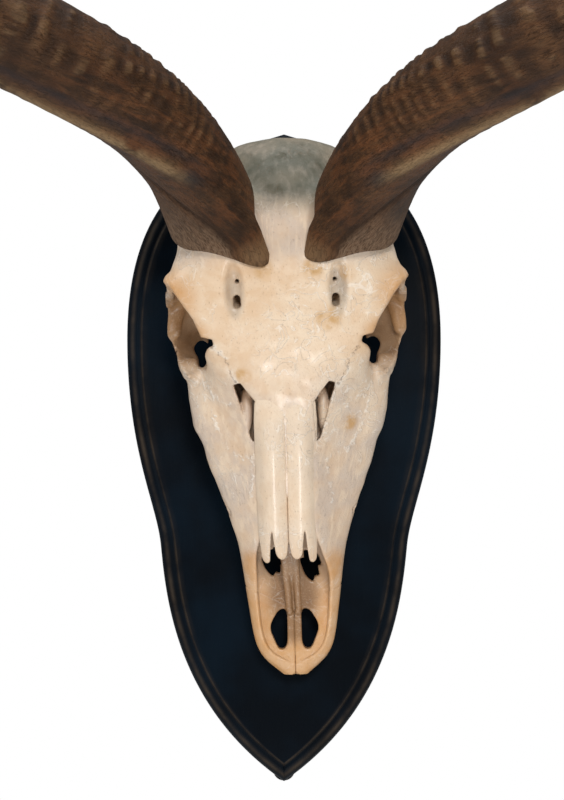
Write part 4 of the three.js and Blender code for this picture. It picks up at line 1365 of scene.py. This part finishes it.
def shield_line():
    """Half of the outline from the apex down to the point, as x and z in millimetres."""
    waist = np.array(PLAQUE_WAIST)
    lean = np.array([PLAQUE_WAIST_LEAN, 1.0])
    lean /= np.linalg.norm(lean)
    above, below = PLAQUE_WAIST_PULL
    widest = (PLAQUE_HALF_WIDTH, PLAQUE_WIDEST_Z)
    apex = (0, PLAQUE_APEX_Z)
    point = (0, PLAQUE_POINT_Z)
    shoulder = bezier(apex, PLAQUE_APEX_PULL, (PLAQUE_HALF_WIDTH, PLAQUE_SHOULDER_Z), widest, 90)
    flank = bezier(widest, (PLAQUE_HALF_WIDTH, PLAQUE_FLANK_Z), waist + lean * above, waist, 70)
    foot = bezier(waist, waist - lean * below, PLAQUE_FOOT_PULL, point, 90)
    return np.concatenate([shoulder, flank[1:], foot[1:]])


def edge_line():
    """Edge profile from the back, round the ovolo, over the quirk and on to the field: inset and height."""
    shoulder = PLAQUE_THICKNESS - QUIRK
    turn = np.linspace(0, math.pi / 2, 14)
    ovolo = np.stack([OVOLO * (1 - np.cos(turn)), shoulder - OVOLO + OVOLO * np.sin(turn)], 1)
    field = OVOLO + 2 * QUIRK
    chamfer = QUIRK / 2
    ends = [(0, 0), (0, 4), (0, 9)]
    quirk = [
        (field - chamfer * 1.2, shoulder - 0.35),
        (field - chamfer * 0.6, shoulder + 0.2),
        (field - chamfer * 0.2, shoulder + chamfer),
        (field + chamfer * 0.5, PLAQUE_THICKNESS - 0.2),
        (field + chamfer * 1.4, PLAQUE_THICKNESS),
    ]
    return np.array([*ends, *ovolo, *quirk], float)


def plaque_tree(material, rows, steps, lengths):
    tree, wires = start_tree("shield_plaque", {
        "Lines": ("NodeSocketObject", None),
        "Rows": ("NodeSocketInt", rows),
        "Edge steps": ("NodeSocketInt", steps),
        "Field steps": ("NodeSocketInt", 24),
        "Back steps": ("NodeSocketInt", 6),
    })
    rows_wire = wires["Rows"]
    lines = rows_wire.node("GeometryNodeObjectInfo", None, {"Object": wires["Lines"]}, out="Geometry")
    columns = wires["Back steps"] + wires["Edge steps"] + wires["Field steps"]
    index = rows_wire.node("GeometryNodeInputIndex")
    row = (index / columns).math("FLOOR")
    column = index - row * columns - wires["Back steps"]
    spot, tangent = sampled(lines, row / (rows_wire - 1) * lengths[0], 0)
    round_edge = (column / (wires["Edge steps"] - 1)).most(0).least(1)
    edge, _ = sampled(lines, round_edge * lengths[1], 1)
    inset = edge.node("ShaderNodeSeparateXYZ", None, {0: edge}, out="X")
    height = edge.node("ShaderNodeSeparateXYZ", None, {0: edge}, out="Y")
    inward = tangent.vector("CROSS_PRODUCT", (0, -1, 0))
    spot = spot.vector("ADD", inward.scaled(inset))
    out = spot.node("ShaderNodeSeparateXYZ", None, {0: spot}, out="X")
    up = spot.node("ShaderNodeSeparateXYZ", None, {0: spot}, out="Z")
    across = ((column - wires["Edge steps"] + 1) / wires["Field steps"]).most(-column / wires["Back steps"])
    across = across.most(0)
    out = out.most(0) * (1 - across)
    place = spot.node("ShaderNodeCombineXYZ", None, {"X": out, "Y": -height, "Z": up})
    # The ovolo's crest and the lip by the quirk, for wear and a painted highlight
    crest = (inset / MM - 0.55 * OVOLO).bell(0.2 * OVOLO)
    lip = (inset / MM - OVOLO - 2 * QUIRK).bell(0.9)
    mesh = spot.node("GeometryNodeMeshGrid", None, {"Vertices X": rows_wire, "Vertices Y": columns})
    mesh = store(mesh, "wear", (crest + lip).least(1) * (1 - across.step(0, 0.02)))
    mesh = spot.node("GeometryNodeSetPosition", None, {"Geometry": mesh, "Position": place})
    other = spot.node("GeometryNodeTransform", None, {"Geometry": mesh, "Scale": (-1, 1, 1)})
    other = spot.node("GeometryNodeFlipFaces", None, {"Mesh": other})
    both = tree.nodes.new("GeometryNodeJoinGeometry")
    tree.links.new(mesh.socket, both.inputs[0])
    tree.links.new(other.socket, both.inputs[0])
    mesh = Wire(tree, both.outputs[0])
    mesh = mesh.node("GeometryNodeMergeByDistance", None, {"Geometry": mesh, "Distance": 0.00002})
    end_tree(tree, mesh, material)
    return tree


def line_length(points):
    return float(np.linalg.norm(np.diff(points, axis=0), axis=1).sum())


def make_plaque(material):
    outline = shield_line() * MM
    outline = np.stack([outline[:, 0], np.zeros(len(outline)), outline[:, 1]], 1)
    edge = edge_line() * MM
    edge = np.stack([edge[:, 0], edge[:, 1], np.zeros(len(edge))], 1)
    lines = curve_object("plaque_lines", outline, edge)
    tree = plaque_tree(material, 420, 60, (line_length(outline), line_length(edge)))
    plaque = grown("shield_plaque", tree, host_object("plaque_host"), {"Lines": lines}, material)
    bpy.data.objects.remove(lines)
    belongs(plaque, "black_wood", "plaque")


def make_drop(material):
    """The small round drop at the shield's point, a turned disc with a soft edge."""
    profile = [(0, DROP_THICKNESS), (6, DROP_THICKNESS), (7.6, DROP_THICKNESS - 0.5)]
    profile += [(DROP_RADIUS, DROP_THICKNESS - 2), (DROP_RADIUS, 0), (0, 0)]
    sides = 48
    points = []
    for radius, height in profile:
        for angle in np.linspace(0, 2 * math.pi, sides, endpoint=False):
            x = radius * math.cos(angle)
            z = PLAQUE_POINT_Z + DROP_RADIUS + radius * math.sin(angle)
            points.append((x, -height, z))
    faces = []
    for k in range(len(profile) - 1):
        for i in range(sides):
            j = (i + 1) % sides
            faces.append((k * sides + i, k * sides + j, (k + 1) * sides + j, (k + 1) * sides + i))
    drop = piece_of("plaque_drop", np.array(points) * MM, np.array(faces), material)
    facing_out(drop)
    # The drop gets the same wear and painted edge highlight all over
    set_attribute(drop, "wear", np.full(len(drop.data.vertices), 0.4))
    belongs(drop, "black_wood")


# Teeth: two-lobed cheek teeth, one on each place in the two rows


def tooth_tree(material):
    tree, wires = start_tree("cheek_teeth", {"Lobe depth": ("NodeSocketFloat", 0.16)})
    depth = wires["Lobe depth"]
    cube = depth.node("GeometryNodeMeshCube", None, {
        "Size": (2, 2, 2), "Vertices X": 21, "Vertices Y": 11, "Vertices Z": 15,
    })
    spot = depth.node("GeometryNodeInputPosition")
    x = spot.node("ShaderNodeSeparateXYZ", None, {0: spot}, out="X")
    y = spot.node("ShaderNodeSeparateXYZ", None, {0: spot}, out="Y")
    z = spot.node("ShaderNodeSeparateXYZ", None, {0: spot}, out="Z")
    size = (x.abs() ** 5 + y.abs() ** 5) ** 0.2
    square = x.abs().most(y.abs())
    round_in = (square / size.most(0.001)).least(1)
    waist = 1 - depth * x.bell(0.22)
    crown = z + (1 + (x * 6.4).cos()) * 0.07 * z.step(-0.6, -1.0, 0, 1)
    place = spot.node("ShaderNodeCombineXYZ", None, {
        "X": x * round_in,
        "Y": y * round_in * waist,
        "Z": crown,
    })
    tooth = depth.node("GeometryNodeSetPosition", None, {"Geometry": cube, "Position": place})
    scale = depth.node("ShaderNodeCombineXYZ", None, {
        "X": depth.node("GeometryNodeInputNamedAttribute", {"data_type": "FLOAT"}, {"Name": "long"}),
        "Y": depth.node("GeometryNodeInputNamedAttribute", {"data_type": "FLOAT"}, {"Name": "wide"}),
        "Z": (TOOTH_ROOT_H - REST_H) / 2 * MM,
    })
    lean = depth.node("GeometryNodeInputNamedAttribute", {"data_type": "FLOAT"}, {"Name": "lean"})
    turn = depth.node("ShaderNodeCombineXYZ", None, {"X": math.pi / 2, "Y": lean, "Z": 0.0})
    rows = depth.node("GeometryNodeInstanceOnPoints", None, {
        "Points": wires["Geometry"], "Instance": tooth, "Rotation": turn, "Scale": scale,
    })
    end_tree(tree, rows, material)
    return tree


def make_teeth():
    material = tooth_material()
    points = []
    sizes = []
    for side in (1, -1):
        u = TOOTH_ROW_U
        for i, (length, width) in enumerate(zip(TOOTH_LENGTHS, TOOTH_WIDTHS)):
            x = mix(*TOOTH_ROW_X, i / (len(TOOTH_LENGTHS) - 1))
            points.append((side * x, u + length / 2, (TOOTH_ROOT_H + REST_H) / 2))
            sizes.append((length / 2 * MM, width / 2 * MM, -math.pi / 2))
            u += length
    host = host_object("tooth_places", skull_to_row(np.array(points)))
    for name, values in zip(("long", "wide", "lean"), np.array(sizes).T):
        set_attribute(host, name, values)
    teeth = grown("cheek_teeth", tooth_tree(material), host, {}, material)
    belongs(teeth, "bone")


# Skull pieces

# Lines where bones meet, and chalky lines, in x and u on the half skull seen from the front
SUTURES = (
    ((57, 251), (50, 245), (45, 238), (43, 230), (37, 221), (33, 217)),
)
CHALK_LINES = (
    ((63, 214), (58, 205), (55, 192), (49, 180), (44, 172), (36, 168), (28, 166)),
    ((66, 224), (52, 211), (41, 204)),
    ((28, 168), (29, 150), (31, 132)),
)

# Patches in x, u and h with a radius: ochre stains from handling, honey where varnish lies thick
OCHRE_PATCHES = (
    ((30, 268, 128), 13),
    ((43, 300, 136), 9),
    ((-33, 229, 112), 9),
    ((44, 192, 80), 10),
    ((-17, 305, 134), 10),
    ((20, 304, 134), 11),
)
HONEY_PATCHES = (
    ((82, 270, 72), 30),
    ((-82, 270, 72), 30),
    ((80, 288, 118), 26),
    ((-80, 288, 118), 26),
    ((66, 262, 112), 20),
    ((-66, 262, 112), 20),
    ((72, 262, 76), 34),
    ((-72, 262, 76), 34),
    ((0, 10, 22), 26),
    ((30, 80, 50), 24),
    ((-30, 80, 50), 24),
)


def distance_to_lines(x, u, lines):
    """Distance from each point to the nearest of some jointed lines, seen from the front."""
    best = np.full(x.shape, 1e3)
    for line in lines:
        for a, b in zip(line[:-1], line[1:]):
            best = np.minimum(best, bar((x, u), a, b, 0, 0))
    return best


def patches(points, places):
    """How strongly soft round patches cover each point."""
    total = np.zeros(len(points))
    for centre, radius in places:
        away = np.linalg.norm(points - np.array(centre, float), axis=1)
        total = np.maximum(total, 1 - smoothstep(0.35 * radius, radius, away))
    return total


def paint_bone(piece, points, lilac_share):
    """Values the bone material draws with, from the places on the skull."""
    x, u, h = points.T
    wiggle_x = 0.9 * np.sin(u * 1.35) + 0.6 * np.sin(u * 2.9 + 1)
    wiggle_u = 0.8 * np.sin(x * 1.2) + 0.5 * np.sin(x * 2.7 + 2)
    suture = distance_to_lines(np.abs(x + wiggle_x * (u > 230)), u + wiggle_u, SUTURES)
    top = along(FACE, FACE_TOP, u)
    seen = smoothstep(0.25, 0.5, h / top)
    set_attribute(piece, "suture", np.minimum(suture + 12 * (1 - seen), 30))
    chalk = distance_to_lines(np.abs(x + wiggle_x), u + 2 * wiggle_u, CHALK_LINES)
    set_attribute(piece, "chalk", np.minimum(chalk + 12 * (1 - seen), 30))
    set_attribute(piece, "ochre", patches(points, OCHRE_PATCHES))
    muzzle_honey = 1 - smoothstep(50, 115, u)
    # Painted shade for the hollow of the nose and the lower eye socket
    face = face_field(np.abs(x), u, h)
    nose = smoothstep(4, 9, -face) * (1 - smoothstep(120, 135, u))
    socket = (1 - smoothstep(84, 112, h)) * smoothstep(226, 246, u) * (1 - smoothstep(300, 312, u))
    set_attribute(piece, "cavity_shade", np.maximum(nose, 0.8 * socket * smoothstep(50, 56, np.abs(x))))
    set_attribute(piece, "honey", np.maximum(patches(points, HONEY_PATCHES), muzzle_honey))
    set_attribute(piece, "dull", smoothstep(300, 325, u))
    # Painted shade in the grooves over the eyes, laid in as lilac-grey with a little grey-green
    groove = 1 - smoothstep(-2, 3, egg((np.abs(x), u), (37.5, 287), (6, 17)))
    # Grey-green on the braincase's top: the bone's own stain and painted shade where it faces up
    crown = smoothstep(338, 364, u)
    set_attribute(piece, "ash_and_shade", np.maximum(crown, 0.3 * groove * smoothstep(110, 120, h)))
    lilac = smoothstep(55, 110, u) * (1 - smoothstep(195, 250, u)) * lilac_share
    between_horns = smoothstep(300, 320, u)
    set_attribute(piece, "lilac", np.maximum(lilac, np.maximum(groove, between_horns)))


def sided(box, side):
    """A box of the +x side, on the given side."""
    (low_x, low_u, low_h), (high_x, high_u, high_h) = box
    low_x, high_x = sorted((low_x * side, high_x * side))
    return (low_x, low_u, low_h), (high_x, high_u, high_h)


def bone_piece(name, field, box, cell, material, lilac_share=1.0):
    points, faces = surface_of(field, *box, cell)
    piece = piece_of(name, skull_to_row(points), faces, material)
    facing_out(piece)
    paint_bone(piece, points, lilac_share)
    return piece


def make_skull():
    bone = bone_material("skull_bone")
    nasal_bone = bone_material("nasal_bone", 0.6)
    muzzle_bone = bone_material("muzzle_bone")
    cranium = bone_piece("cranium_bone", cranium_field, CRANIUM_BOX, BONE_CELL, bone)
    belongs(cranium, "bone", "cranium")
    for word, side in (("left", 1), ("right", -1)):
        nasal = bone_piece(
            f"nasal_bone_{word}", nasal_field(side), sided(NASAL_BOX, side), SMALL_BONE_CELL, nasal_bone,
            lilac_share=0.35,
        )
        belongs(nasal, "bone", f"nasal_{word}")
        premaxilla = bone_piece(
            f"premaxilla_bone_{word}", premaxilla_field(side), sided(PREMAXILLA_BOX, side),
            SMALL_BONE_CELL, muzzle_bone,
        )
        belongs(premaxilla, "muzzle_bone", f"premaxilla_{word}")


# Studio


def make_camera():
    data = bpy.data.cameras.new("photo_camera")
    data.sensor_width = SENSOR
    data.lens = FOCAL_PIXELS / PHOTO_HEIGHT * SENSOR
    camera = bpy.data.objects.new("photo_camera", data)
    camera.location = (CAMERA_X, -CAMERA_DISTANCE, CAMERA_Z)
    camera.rotation_euler = (math.pi / 2, 0, 0)
    bpy.context.scene.collection.objects.link(camera)
    bpy.context.scene.camera = camera


def make_light(name, place, aim, size, power):
    data = bpy.data.lights.new(name, "AREA")
    data.shape = "DISK"
    data.size = size
    data.energy = power
    light = bpy.data.objects.new(name, data)
    light.location = place
    way = np.subtract(aim, place)
    light.rotation_euler = (
        math.acos(-way[2] / np.linalg.norm(way)),
        0,
        math.atan2(way[0], -way[1]) + math.pi,
    )
    bpy.context.scene.collection.objects.link(light)


def make_studio():
    mesh = bpy.data.meshes.new("studio_floor")
    angles = np.linspace(0, 2 * math.pi, 96, endpoint=False)
    corners = [(FLOOR_RADIUS * math.cos(a), FLOOR_RADIUS * math.sin(a), FLOOR_Z) for a in angles]
    mesh.from_pydata(corners, [], [range(len(corners))])
    mesh.materials.append(floor_material())
    floor = bpy.data.objects.new("studio_floor", mesh)
    bpy.context.scene.collection.objects.link(floor)
    world = bpy.data.worlds.new("studio_world")
    world.use_nodes = True
    background = world.node_tree.nodes["Background"]
    seen = Wire(world.node_tree).node("ShaderNodeLightPath", out="Is Camera Ray")
    strength = seen.step(0, 1, WORLD_GLOW, 1.0)
    world.node_tree.links.new(strength.socket, background.inputs["Strength"])
    background.inputs["Color"].default_value = (1, 1, 1, 1)
    bpy.context.scene.world = world
    bpy.context.scene.view_settings.view_transform = "Standard"
    for light in LIGHTS:
        make_light(*light)


make_camera()
make_studio()
lacquer = lacquer_material()
make_plaque(lacquer)
make_drop(lacquer)
make_teeth()
make_skull()
make_horns()
